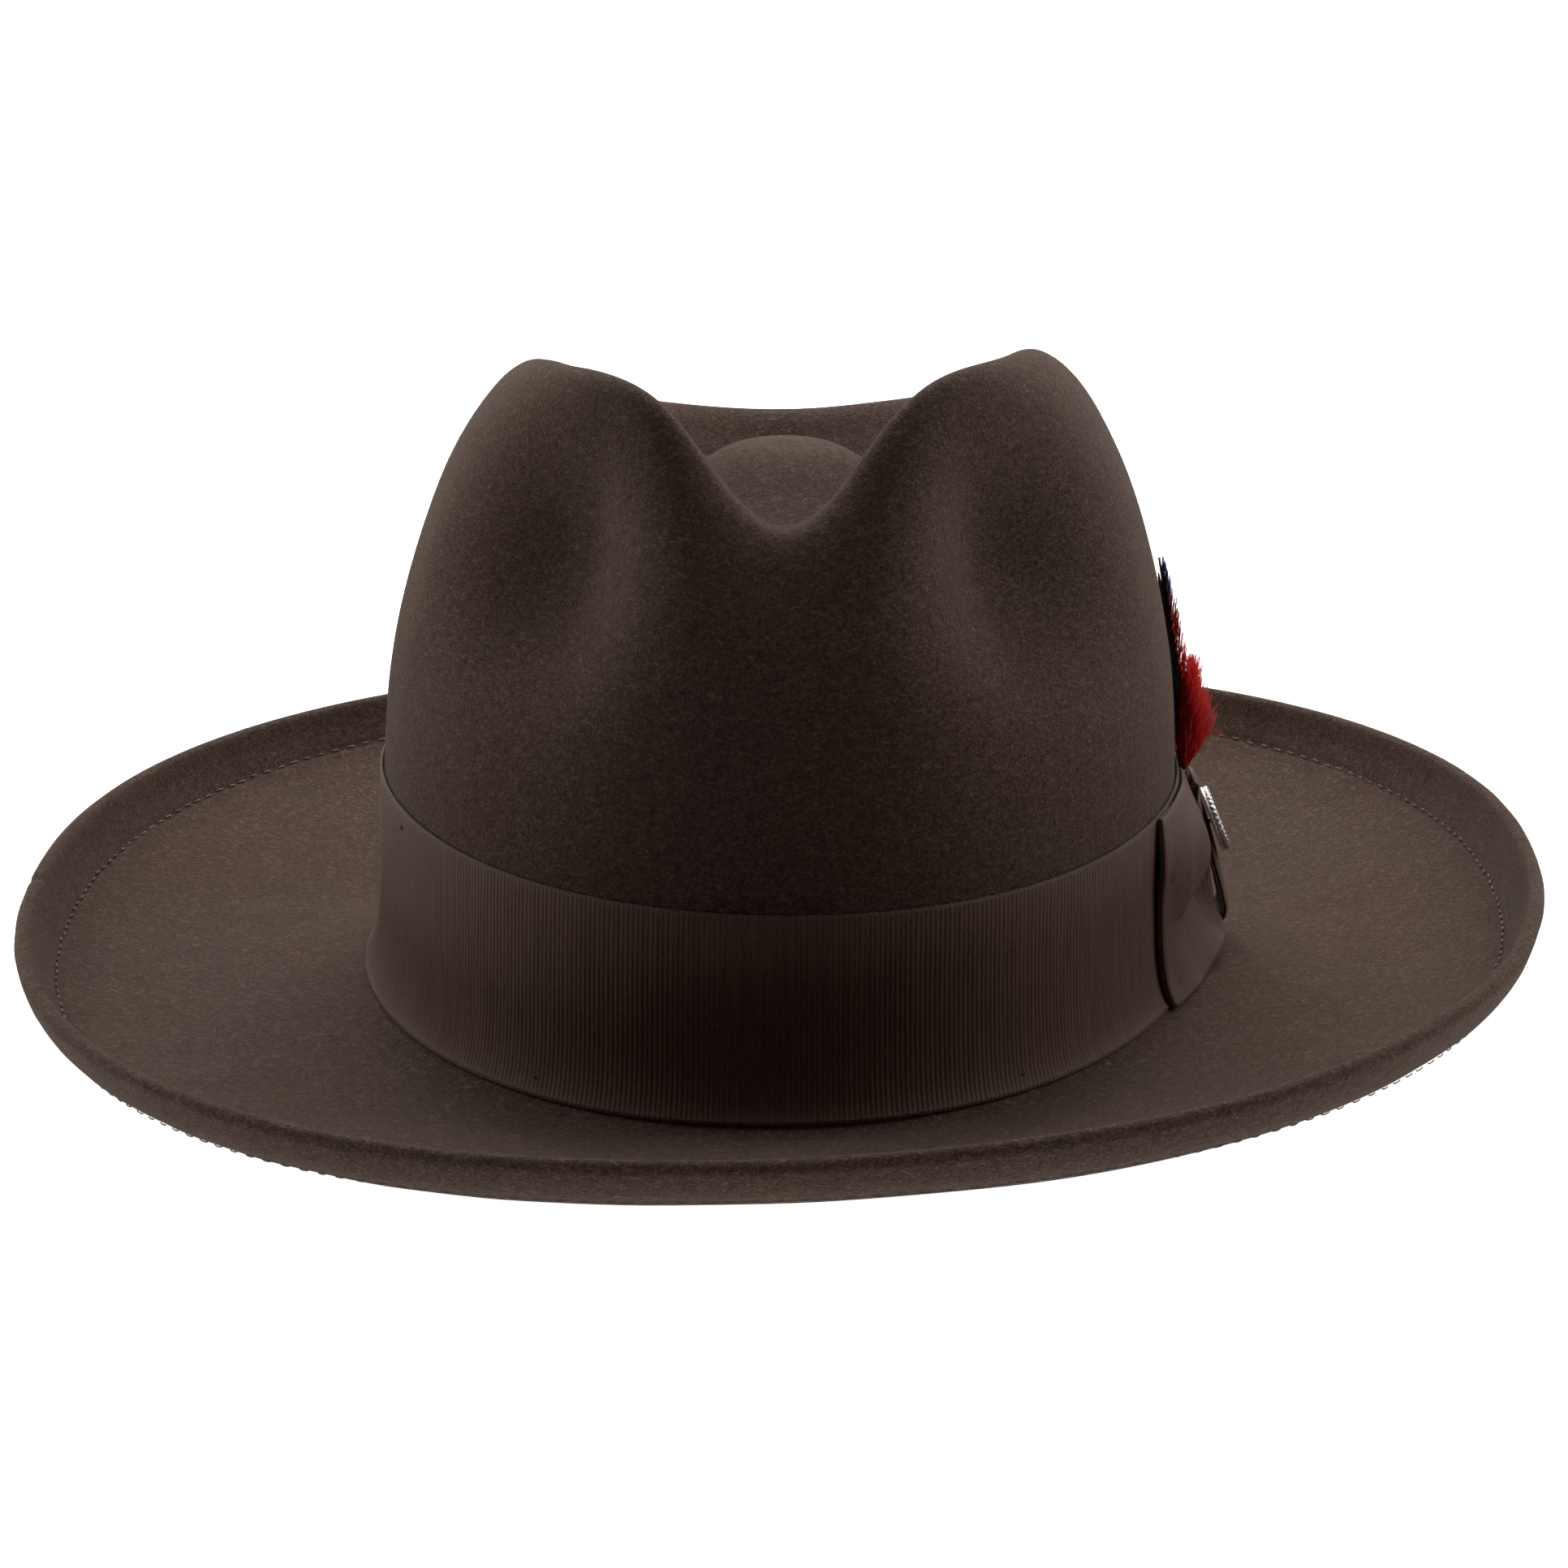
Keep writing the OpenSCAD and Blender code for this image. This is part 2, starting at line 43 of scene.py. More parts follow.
# ------------------------------------------------------------------ the hat's surface
LIFT = 3.912
K = np.array([
    [0.01, 0.01, 0.01, 2.0, 122.0, 122.0, 122.0, 0.0, 0.0, 1.2],
    [11.0, 15.0, 17.0, 2.0, 120.0, 120.5, 119.5, 0.0, 0.0, 1.2],
    [21.0, 33.0, 36.0, 2.0, 112.0, 115.0, 111.0, 0.0, 0.0, 1.2],
    [29.0, 49.0, 53.0, 2.0, 108.0, 111.0, 103.0, 1.0, 0.0, 1.2],
    [36.5, 60.0, 63.0, 2.0, 117.0, 117.0, 104.2, 6.0, 0.3, 1.2],
    [43.2, 67.5, 70.5, 2.05, 133.0, 129.5, 110.7, 18.0, 0.6, 1.2],
    [48.8, 72.5, 76.0, 2.1, 143.0, 137.5, 116.0, 26.0, 0.9, 1.2],
    [53.4, 76.0, 80.5, 2.1, 146.0, 139.5, 118.0, 29.0, 1.0, 1.2],
    [58.6, 79.0, 84.5, 2.1, 143.5, 137.5, 116.5, 27.0, 1.0, 1.2],
    [63.8, 82.3, 88.0, 2.1, 137.0, 132.5, 112.7, 22.5, 1.0, 1.2],
    [68.8, 86.3, 91.3, 2.1, 128.0, 125.0, 106.7, 18.0, 1.0, 1.1],
    [73.9, 90.5, 94.8, 2.1, 117.0, 114.5, 98.2, 14.0, 1.0, 1.0],
    [78.4, 94.5, 98.0, 2.1, 103.0, 101.5, 87.1, 9.0, 1.0, 0.8],
    [82.1, 98.0, 100.5, 2.15, 86.0, 87.0, 74.6, 5.0, 0.6, 0.6],
    [84.8, 101.0, 102.3, 2.15, 64.0, 71.0, 60.2, 1.5, 0.0, 0.4],
    [85.9, 102.6, 103.3, 2.15, 43.0, 52.0, 43.0, 0.0, -1.0, 0.2],
    [85.9, 103.0, 103.5, 2.15, 27.0, 35.0, 27.0, 0.0, -0.4, 0.0],
    [86.7, 103.4, 103.9, 2.15, 10.5, 19.5, 11.0, 0.0, 0.3, 0.0],
    [88.8, 105.0, 105.4, 2.15, 2.0, 11.5, 3.0, 0.0, 0.8, 0.0],
    [92.5, 108.4, 108.6, 2.15, -1.2, 8.8, 0.2, 0.0, 1.2, 0.0],
    [100.0, 115.5, 115.5, 2.15, -1.8, 8.2, 0.8, 0.0, 1.8, 0.0],
    [115.0, 130.0, 129.5, 2.17, -0.2, 9.4, 5.5, 0.0, 2.6, 0.0],
    [135.0, 149.5, 148.5, 2.18, 3.2, 12.0, 14.0, 0.0, 3.6, 0.0],
    [150.2, 164.6, 164.4, 2.2, 6.8, 15.2, 21.6, 0.0, 4.3, 0.0],
    [156.6, 171.0, 170.8, 2.2, 9.4, 17.6, 25.4, 0.0, 4.5, 0.0],
    [160.0, 174.4, 174.3, 2.2, 12.4, 21.6, 29.0, 0.0, 4.6, 0.0],
    [161.6, 176.0, 176.0, 2.2, 15.0, 26.2, 32.6, 0.0, 4.7, 0.0]])
FELT = 2.0
B0, B1 = 0.15, 0.95  # band: inner and outer face above the felt
S0 = -FELT - 0.25
S1 = S0 - 1.0


def key(u):
    u = np.asarray(u, float)
    i = np.clip(np.floor(u).astype(int), 0, len(K) - 2)
    t = (u - i)[..., None]
    p0, p1, p2, p3 = K[np.maximum(i - 1, 0)], K[i], K[i + 1], K[np.minimum(i + 2, len(K) - 1)]
    return 0.5 * (2 * p1 + (p2 - p0) * t + (2 * p0 - 5 * p1 + 4 * p2 - p3) * t**2 + (3 * p1 - p0 - 3 * p2 + p3) * t**3)


def surf(u, f):
    u, f = np.broadcast_arrays(np.asarray(u, float), np.asarray(f, float))
    k = key(u)
    S, C = np.sin(np.radians(f)), np.cos(np.radians(f))
    a, b, n = k[..., 0], np.where(C > 0, k[..., 1], k[..., 2]), k[..., 3]
    h = np.abs((f + 180) % 360 - 180)
    zf, zs, zb = k[..., 4], k[..., 5], k[..., 6]
    z0 = (zs + (zf - zb) / 2 * C + ((zf + zb) / 2 - zs) * C * C
          - k[..., 7] * (np.exp(-(h / 15.5) ** 2) + 0.12 * np.exp(-((180 - h) / 24) ** 2)) + k[..., 8] * S
          + 1.2 * np.clip((a - 90) / 75, 0, 1) * np.sin(np.radians(2 * f)))
    e = h - 33.5 - 0.08 * (105.5 - z0)
    g = 17 * np.exp(-(e / np.where(e < 0, 12.5, 19)) ** 2 - ((z0 - 105.5) / np.where(z0 < 105.5, 22, 25)) ** 2)
    g = g * np.clip((u - 4) / 4, 0, 1)
    r = ((np.abs(S) / a) ** n + (np.abs(C) / b) ** n) ** (-1 / n) - g
    return np.stack([r * S + k[..., 9], -r * C, z0 + LIFT], -1)


def unit(v):
    return v / np.maximum(np.linalg.norm(v, axis=-1, keepdims=True), 1e-9)


def along(u, f):
    v = np.minimum(np.asarray(u, float) + 0.03, 26)
    return unit(surf(v, f) - surf(v - 0.06, f))


def nrm(u, f):
    n = unit(-np.cross(surf(u, np.asarray(f) + 0.5) - surf(u, np.asarray(f) - 0.5), along(u, f)))
    u, _ = np.broadcast_arrays(np.asarray(u, float), np.asarray(f, float))
    n[u < 0.3] = (0, 0, 1)
    return n


def off(u, f, h):
    return surf(u, f) + np.asarray(h, float)[..., None] * nrm(u, f)


def spaced(u0, u1, step):
    """Profile rows from u0 to u1, about step mm apart along the surface."""
    us = np.linspace(u0, u1, 1200)
    P = surf(us[:, None], np.array([0, 20, 45, 90, 140, 180.0])[None])
    d = np.linalg.norm(np.diff(P, axis=0), axis=-1).max(1)
    L = np.concatenate([[0], np.cumsum(d)])
    return np.interp(np.linspace(0, L[-1], max(2, int(abs(L[-1]) / step) + 1)), L, us)


def wavy(P, seed, lengths, amp):
    """Smooth random field over points, for unevenness."""
    r = np.random.default_rng(seed)
    out = 0
    for L in lengths:
        for _ in range(4):
            out = out + np.sin(P @ (unit(r.normal(size=3)) * 2 * math.pi / L) + r.uniform(0, 6.28))
    return amp * out / (len(lengths) * 2)


# ------------------------------------------------------------------ mesh making
def grid(P, wrap_r=False, wrap_c=False, uv=None, start=0):
    """Quads over a grid of points; uv holds one more row or column where the grid wraps."""
    R, C = P.shape[:2]
    i = np.arange(R if wrap_r else R - 1)[:, None]
    j = np.arange(C if wrap_c else C - 1)[None]
    i1, j1 = (i + 1) % R, (j + 1) % C
    Q = np.stack([i * C + j, i1 * C + j, i1 * C + j1, i * C + j1], -1).reshape(-1, 4) + start
    if uv is None:
        return Q, np.zeros((len(Q), 4, 2))
    return Q, np.stack([uv[i, j], uv[i + 1, j], uv[i + 1, j + 1], uv[i, j + 1]], -2).reshape(-1, 4, 2)


class Build:
    """Collects parts of one piece."""

    def __init__(self):
        self.V, self.Q, self.T, self.UQ, self.UT, self.MQ, self.MT, self.n = [], [], [], [], [], [], [], 0

    def quads(self, V, Q, UV=None, m=0, flip=False):
        V = np.asarray(V, float).reshape(-1, 3)
        Q = np.asarray(Q)
        UV = np.zeros((len(Q), 4, 2)) if UV is None else UV
        if flip:
            Q, UV = Q[:, ::-1], UV[:, ::-1]
        self.V.append(V), self.Q.append(Q + self.n), self.UQ.append(UV), self.MQ.append(np.full(len(Q), m))
        self.n += len(V)

    def tris(self, V, T, m=0, flip=False, UV=None):
        V = np.asarray(V, float).reshape(-1, 3)
        T = np.asarray(T)[:, ::-1] if flip else np.asarray(T)
        self.V.append(V), self.T.append(T + self.n), self.MT.append(np.full(len(T), m))
        self.UT.append(np.zeros((len(T), 3, 2)) if UV is None else UV)
        self.n += len(V)

    def grid(self, P, wrap_r=False, wrap_c=False, uv=None, m=0, flip=False):
        Q, UV = grid(P, wrap_r, wrap_c, uv)
        self.quads(P, Q, UV, m, flip)

    def make(self, name, mats, body="hat", smooth=True, volume=True, sharp=None, form=None):
        V = np.concatenate(self.V) / 1000
        Q = np.concatenate(self.Q) if self.Q else np.zeros((0, 4), int)
        T = np.concatenate(self.T) if self.T else np.zeros((0, 3), int)
        UQ = np.concatenate(self.UQ) if self.UQ else np.zeros((0, 4, 2))
        UT = np.concatenate(self.UT) if self.UT else np.zeros((0, 3, 2))
        if volume:  # outward faces for a closed body
            tri = np.concatenate([Q[:, [0, 1, 2]], Q[:, [0, 2, 3]], T])
            a, b, c = V[tri[:, 0]], V[tri[:, 1]], V[tri[:, 2]]
            if np.einsum("ij,ij->i", a, np.cross(b, c)).sum() < 0:
                Q, T, UQ, UT = Q[:, ::-1], T[:, ::-1], UQ[:, ::-1], UT[:, ::-1]
        me = bpy.data.meshes.new(name)
        me.vertices.add(len(V))
        me.vertices.foreach_set("co", V.ravel().astype(np.float32))
        loops = np.concatenate([Q.ravel(), T.ravel()]).astype(np.int32)
        me.loops.add(len(loops))
        me.loops.foreach_set("vertex_index", loops)
        me.polygons.add(len(Q) + len(T))
        starts = np.concatenate([np.arange(len(Q)) * 4, len(Q) * 4 + np.arange(len(T)) * 3]).astype(np.int32)
        me.polygons.foreach_set("loop_start", starts)
        me.polygons.foreach_set("material_index", np.concatenate([*self.MQ, *self.MT]).astype(np.int32))
        me.polygons.foreach_set("use_smooth", np.full(len(Q) + len(T), smooth))
        me.update(calc_edges=True)
        lay = me.uv_layers.new(name="Weave")
        lay.data.foreach_set("uv", np.concatenate([UQ.reshape(-1, 2), UT.reshape(-1, 2)]).ravel().astype(np.float32))
        me.validate()
        if sharp:
            me.set_sharp_from_angle(angle=math.radians(sharp))
        for m in mats:
            me.materials.append(m)
        ob = bpy.data.objects.new(name, me)
        bpy.context.scene.collection.objects.link(ob)
        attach(ob, body)
        return ob


def tube(path, radii, sides=6, up=(0, 0, 1), flat=1.0):
    """Points of a tube along a path, rows along it, with the ring's frame kept by up."""
    path = np.asarray(path, float)
    d = unit(np.gradient(path, axis=0))
    e = unit(np.cross(d, np.broadcast_to(np.asarray(up, float), d.shape)))
    g = np.cross(d, e)
    q = np.arange(sides) * 2 * math.pi / sides
    r = np.broadcast_to(np.asarray(radii, float), (len(path),))[:, None, None]
    return path[:, None] + r * (np.cos(q)[None, :, None] * e[:, None] + flat * np.sin(q)[None, :, None] * g[:, None])


def add_tube(B, path, radii, sides=6, up=(0, 0, 1), m=0, flat=1.0, u0=0.0, u1=1.0):
    P = tube(path, radii, sides, up, flat)
    R, C = P.shape[:2]
    uv = np.stack(np.broadcast_arrays(np.linspace(u0, u1, R)[:, None], np.linspace(0, 1, C + 1)[None]), -1)
    Q, UV = grid(P, False, True, uv)
    V = np.concatenate([P.reshape(-1, 3), P[0].mean(0)[None], P[-1].mean(0)[None]])
    a, b = R * C, R * C + 1
    j = np.arange(C)
    k = (j + 1) % C
    T = np.concatenate([np.stack([np.full(C, a), j, k], -1), np.stack([np.full(C, b), (R - 1) * C + k, (R - 1) * C + j], -1)])
    UT = np.concatenate([np.full((C, 3, 2), u0), np.full((C, 3, 2), u1)])
    n0 = B.n
    B.quads(V, Q, UV, m)
    B.T.append(T + n0), B.MT.append(np.full(len(T), m)), B.UT.append(UT)


def fibres(base, direction, side, length, width, bend=None, segs=1):
    """Many thin closed spikes at once: three-sided, from base along direction, tapering to a point."""
    N = len(base)
    nrm_ = unit(np.cross(direction, side))
    rings = []
    for k in range(segs):
        t = k / segs
        c = base + direction * (length * t)[:, None]
        if bend is not None:
            c = c + bend * (length * t * t)[:, None]
        w = width * (1 - 0.75 * t)
        for q in (0, 2.094, 4.189):
            rings.append(c + (math.cos(q) * side + math.sin(q) * nrm_) * w[:, None])
    tip = base + direction * length[:, None]
    if bend is not None:
        tip = tip + bend * length[:, None]
    V = np.stack([*rings, tip], 1)
    m = V.shape[1]
    T = [[0, 2, 1]]
    for k in range(segs - 1):
        for q in range(3):
            a, b, c, d = 3 * k + q, 3 * k + (q + 1) % 3, 3 * k + 3 + q, 3 * k + 3 + (q + 1) % 3
            T += [[a, b, d], [a, d, c]]
    l = 3 * (segs - 1)
    T += [[l + q, l + (q + 1) % 3, m - 1] for q in range(3)]
    T = (np.array(T)[None] + (np.arange(N) * m)[:, None, None]).reshape(-1, 3)
    return V.reshape(-1, 3), T


# ------------------------------------------------------------------ materials
class Mat:
    """Small helper that wires a Principled material."""

    def __init__(self, name, rough=0.85, metal=0.0, sheen=0.0, sheen_tint=(1, 1, 1), spec=0.5, sheen_rough=0.5, coat=0.0):
        self.m = bpy.data.materials.new(name)
        self.m.use_nodes = True
        self.nt = self.m.node_tree
        self.p = self.nt.nodes["Principled BSDF"]
        self.p.inputs["Roughness"].default_value = rough
        self.p.inputs["Metallic"].default_value = metal
        self.p.inputs["Specular IOR Level"].default_value = spec
        self.p.inputs["Sheen Weight"].default_value = sheen
        self.p.inputs["Sheen Roughness"].default_value = sheen_rough
        self.p.inputs["Sheen Tint"].default_value = (*sheen_tint, 1)
        self.p.inputs["Coat Weight"].default_value = coat
        tc = self.nt.nodes.new("ShaderNodeTexCoord")
        self.obj = tc.outputs["Object"]
        uv = self.nt.nodes.new("ShaderNodeUVMap")
        uv.uv_map = "Weave"
        self.uv = uv.outputs["UV"]
        self.heights = None

    def link(self, a, b):
        self.nt.links.new(a, b)

    def scaled(self, vec, s):
        n = self.nt.nodes.new("ShaderNodeMapping")
        n.inputs["Scale"].default_value = s
        self.link(vec, n.inputs["Vector"])
        return n.outputs["Vector"]

    def noise(self, scale, detail=2.0, vec=None, rough=0.6, distort=0.0):
        n = self.nt.nodes.new("ShaderNodeTexNoise")
        n.inputs["Scale"].default_value = scale
        n.inputs["Detail"].default_value = detail
        n.inputs["Roughness"].default_value = rough
        n.inputs["Distortion"].default_value = distort
        self.link(vec or self.obj, n.inputs["Vector"])
        return n.outputs["Fac"]

    def wave(self, scale, axis="X", vec=None, distort=0.0, profile="SIN", detail_scale=1.0):
        n = self.nt.nodes.new("ShaderNodeTexWave")
        n.bands_direction = axis
        n.wave_profile = profile
        n.inputs["Scale"].default_value = scale
        n.inputs["Distortion"].default_value = distort
        n.inputs["Detail Scale"].default_value = detail_scale
        self.link(vec or self.uv, n.inputs["Vector"])
        return n.outputs["Fac"]

    def ramp(self, fac, stops):
        n = self.nt.nodes.new("ShaderNodeValToRGB")
        while len(n.color_ramp.elements) < len(stops):
            n.color_ramp.elements.new(0.5)
        for e, (pos, col) in zip(n.color_ramp.elements, stops):
            e.position = pos
            e.color = (*col, 1) if hasattr(col, "__len__") else (col, col, col, 1)
        self.link(fac, n.inputs["Fac"])
        return n.outputs["Color"]

    def mix(self, fac, a, b, mode="MIX"):
        n = self.nt.nodes.new("ShaderNodeMix")
        n.data_type = "RGBA"
        n.blend_type = mode
        for i, src in ((0, fac), (6, a), (7, b)):
            sock = n.inputs[i]
            if isinstance(src, (int, float)):
                sock.default_value = src if i == 0 else (src, src, src, 1)
            elif isinstance(src, tuple):
                sock.default_value = (*src, 1)
            else:
                self.link(src, sock)
        return n.outputs[2]

    def math(self, op, a, b=0.0):
        n = self.nt.nodes.new("ShaderNodeMath")
        n.operation = op
        for src, sock in ((a, n.inputs[0]), (b, n.inputs[1])):
            if isinstance(src, (int, float)):
                sock.default_value = src
            else:
                self.link(src, sock)
        return n.outputs[0]

    def sep(self, vec, k):
        n = self.nt.nodes.new("ShaderNodeSeparateXYZ")
        self.link(vec, n.inputs[0])
        return n.outputs[k]

    def colour(self, c):
        self.link(c, self.p.inputs["Base Color"])

    def rough(self, fac, lo, hi):
        n = self.nt.nodes.new("ShaderNodeMapRange")
        n.inputs["To Min"].default_value = lo
        n.inputs["To Max"].default_value = hi
        self.link(fac, n.inputs["Value"])
        self.link(n.outputs[0], self.p.inputs["Roughness"])

    def bump(self, fac, dist, strength=1.0):
        n = self.nt.nodes.new("ShaderNodeBump")
        n.inputs["Distance"].default_value = dist
        n.inputs["Strength"].default_value = strength
        self.link(fac, n.inputs["Height"])
        if self.heights is not None:
            self.link(self.heights, n.inputs["Normal"])
        self.heights = n.outputs[0]
        self.link(self.heights, self.p.inputs["Normal"])


def felt_material(name, dark, mid, light, gain=1.0):
    s = Mat(name, rough=0.95, sheen=0.30, sheen_tint=(0.62, 0.52, 0.45), spec=0.12, sheen_rough=0.45)
    fine = s.noise(1900, 3, rough=0.65, distort=0.6)
    streak = s.noise(1300, 2, vec=s.scaled(s.obj, (0.55, 0.55, 1.3)), rough=0.6, distort=1.2)
    spot = s.noise(620, 2, rough=0.5)
    patch = s.noise(24, 3)
    tint = s.noise(13, 2)
    c = s.ramp(fine, [(0.28, dark), (0.52, mid), (0.74, light)])
    c = s.mix(s.ramp(streak, [(0.52, 0.0), (0.72, 0.75)]), c, tuple(1.35 * v for v in light))
    c = s.mix(s.ramp(spot, [(0.30, 0.6), (0.44, 0.0)]), c, dark)
    c = s.mix(s.ramp(patch, [(0.35, 0.0), (0.7, 0.5)]), c, s.mix(1.0, c, (1.0, 0.86, 0.90), "MULTIPLY"))
    c = s.mix(s.ramp(tint, [(0.4, 0.0), (0.75, 0.5)]), c, s.mix(1.0, c, (1.05, 0.98, 0.80), "MULTIPLY"))
    s.colour(c)
    s.bump(fine, 0.00035, 0.8)
    s.bump(streak, 0.0003, 0.7)
    s.bump(s.noise(150, 2), 0.0004, 0.35)
    return s.m


def ribbon_material(name, dark, mid, light):
    """Grosgrain: one unit of U is one rib, V runs across in millimetres."""
    s = Mat(name, rough=0.62, sheen=0.22, sheen_tint=(0.80, 0.70, 0.66), spec=0.32, sheen_rough=0.35)
    warp = s.noise(1.0, 2, vec=s.scaled(s.uv, (1.4, 5.5, 1)))
    slub = s.noise(1.0, 3, vec=s.scaled(s.uv, (0.9, 0.05, 1)))
    c = s.ramp(warp, [(0.3, dark), (0.55, mid), (0.8, light)])
    c = s.mix(s.ramp(slub, [(0.4, 0.0), (0.75, 0.45)]), c, light)
    c = s.mix(s.ramp(s.noise(30, 2), [(0.4, 0.0), (0.8, 0.4)]), c, s.mix(1.0, c, (0.82, 0.78, 0.86), "MULTIPLY"))
    s.colour(c)
    s.rough(warp, 0.5, 0.78)
    s.bump(warp, 0.00012, 0.7)
    return s.m


def thread_material(name, a, b, scale=1.0, rough=0.7, sheen=0.3):
    s = Mat(name, rough=rough, sheen=sheen, spec=0.3)
    tw = s.wave(scale, "DIAGONAL")
    n = s.noise(2600, 2)
    s.colour(s.mix(n, s.ramp(tw, [(0.2, a), (0.8, b)]), a))
    s.bump(tw, 0.00008, 0.8)
    s.rough(n, rough - 0.12, rough + 0.1)
    return s.m


FELT_M = felt_material("hat_felt", (0.034, 0.0215, 0.0155), (0.080, 0.0500, 0.0365), (0.158, 0.104, 0.077))
FUZZ_M = Mat("felt_fibres", rough=0.8, sheen=0.2, spec=0.15)
FUZZ_M.colour(FUZZ_M.ramp(FUZZ_M.noise(700, 2), [(0.3, (0.045, 0.033, 0.026)), (0.55, (0.10, 0.077, 0.060)), (0.75, (0.19, 0.155, 0.125))]))
FUZZ_M.rough(FUZZ_M.noise(300, 1), 0.7, 0.95)
FUZZ_M = FUZZ_M.m
RIB_M = ribbon_material("grosgrain_ribbon", (0.066, 0.036, 0.025), (0.130, 0.072, 0.050), (0.226, 0.130, 0.091))
SELV = Mat("ribbon_selvedge", rough=0.55, sheen=0.25, spec=0.4)
SELV.colour(SELV.mix(SELV.noise(1500, 2), SELV.ramp(SELV.math("FRACT", SELV.sep(SELV.uv, 0)), [(0.15, (0.030, 0.018, 0.012)), (0.4, (0.17, 0.112, 0.078)), (0.7, (0.13, 0.083, 0.055)), (0.9, (0.035, 0.022, 0.015))]), (0.055, 0.034, 0.022)))
SELV.bump(SELV.wave(1.3, "DIAGONAL"), 0.0001, 0.7)
SELV = SELV.m
STITCH_M = thread_material("welt_thread", (0.22, 0.19, 0.22), (0.50, 0.46, 0.52), 3.0)
TACK_M = thread_material("tack_thread", (0.05, 0.032, 0.022), (0.15, 0.10, 0.07), 3.0)

# ------------------------------------------------------------------ felt body
NC = 640
f = np.arange(NC) * 360 / NC
us = np.concatenate([spaced(0.12, 23.2, 1.35), np.arange(23.3, 25.05, 0.07), np.arange(25.1, 26.001, 0.06)])
us[-1] = 26.0
STITCHES = 234


def groove(u):
    return -0.55 * np.exp(-((u - 24) / 0.2) ** 2) + 0.28 * np.sin(np.pi * np.clip((u - 24.15) / 1.85, 0, 1)) ** 1.2


def even(u, P):
    """Unevenness of the felt: none where the band sits."""
    free = np.clip(np.abs(u - 16.6) - 2.0, 0, 1.5) / 1.5 * np.clip(u / 2, 0, 1)
    return wavy(P, 3, (22, 37, 60), 0.22) * free


U, F = us[:, None], f[None]
P0 = surf(U, F)
quilt = 1 + 0.25 * np.cos(np.radians(F) * STITCHES)
top = P0 + (np.where(U > 23.2, groove(U) * quilt, 0) + even(U, P0))[..., None] * nrm(U, F)
nick = 1.0 * np.exp(-((F - 268.2) / 0.55) ** 2) * np.clip((U - 25.2) / 0.8, 0, 1)
top -= nick[..., None] * along(U, F)
T2 = 2 * FELT - 0.1
rimc, rimn, rima = surf(26.0, f), nrm(26.0, f), along(26.0, f)
e26 = even(26.0, rimc)[:, None] * rimn
qs = np.radians(np.linspace(0, 180, 15)[1:-1])[:, None, None]
tip = rimc + e26 - nick[-1][:, None] * rima + rima * T2 / 2 * np.sin(qs) - rimn * T2 / 2 * (1 - np.cos(qs))
URAW = 26 - 2.6
und = []
for w, h in [(26, T2), (25.8, T2), (25.5, T2), (25.2, T2), (24.9, T2), (24.6, T2), (24.35, T2 - 0.03), (24.12, T2 - 0.22), (24, T2 - 0.32), (23.88, T2 - 0.2),
             (23.7, T2), (URAW + 0.1, T2 - 0.02), (URAW + 0.02, T2 - 0.12), (URAW - 0.02, T2 - 0.4), (URAW - 0.04, FELT + 1.0), (URAW - 0.05, FELT + 0.45), (URAW - 0.09, FELT + 0.06), (URAW - 0.16, FELT)]:
    P = surf(w, f)
    und.append(P + (even(w, P) - h)[:, None] * nrm(w, f))
inn = []
for w in np.concatenate([spaced(URAW - 0.3, 14.6, 2.2), spaced(14.4, 0.3, 4.0)]):
    P = surf(w, f)
    inn.append(P + (even(w, P) - FELT)[:, None] * nrm(w, f))
rows = np.concatenate([top, tip, np.array(und), np.array(inn)])
B = Build()
B.grid(rows, wrap_c=True)
c0, c1 = surf(0, 0), surf(0, 0) - [0, 0, FELT]
m = len(rows)
j = np.arange(NC)
k = (j + 1) % NC
B.V.append(np.array([c0, c1]))
B.T.append(np.concatenate([np.stack([np.full(NC, m * NC), j, k], -1), np.stack([np.full(NC, m * NC + 1), (m - 1) * NC + k, (m - 1) * NC + j], -1)]))
B.MT.append(np.zeros(2 * NC)), B.UT.append(np.zeros((2 * NC, 3, 2)))
B.n += 2
felt = B.make("felt_hat_body", [FELT_M])
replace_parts(felt, "felt_body"), felt


# ------------------------------------------------------------------ felt fibres that stand off the surface
def sample(u0, u1, n):
    """Random places over the surface between two rows, even by area."""
    ug, fg = np.linspace(u0, u1, 161), np.linspace(0, 360, 181)
    G = surf(ug[:, None], fg[None])
    A = np.linalg.norm(np.cross(G[1:, :-1] - G[:-1, :-1], G[:-1, 1:] - G[:-1, :-1]), axis=-1)
    pick = rng.choice(A.size, n, p=(A / A.sum()).ravel())
    i, jj = np.divmod(pick, A.shape[1])
    return ug[i] + rng.random(n) * (ug[1] - ug[0]), fg[jj] + rng.random(n) * (fg[1] - fg[0])


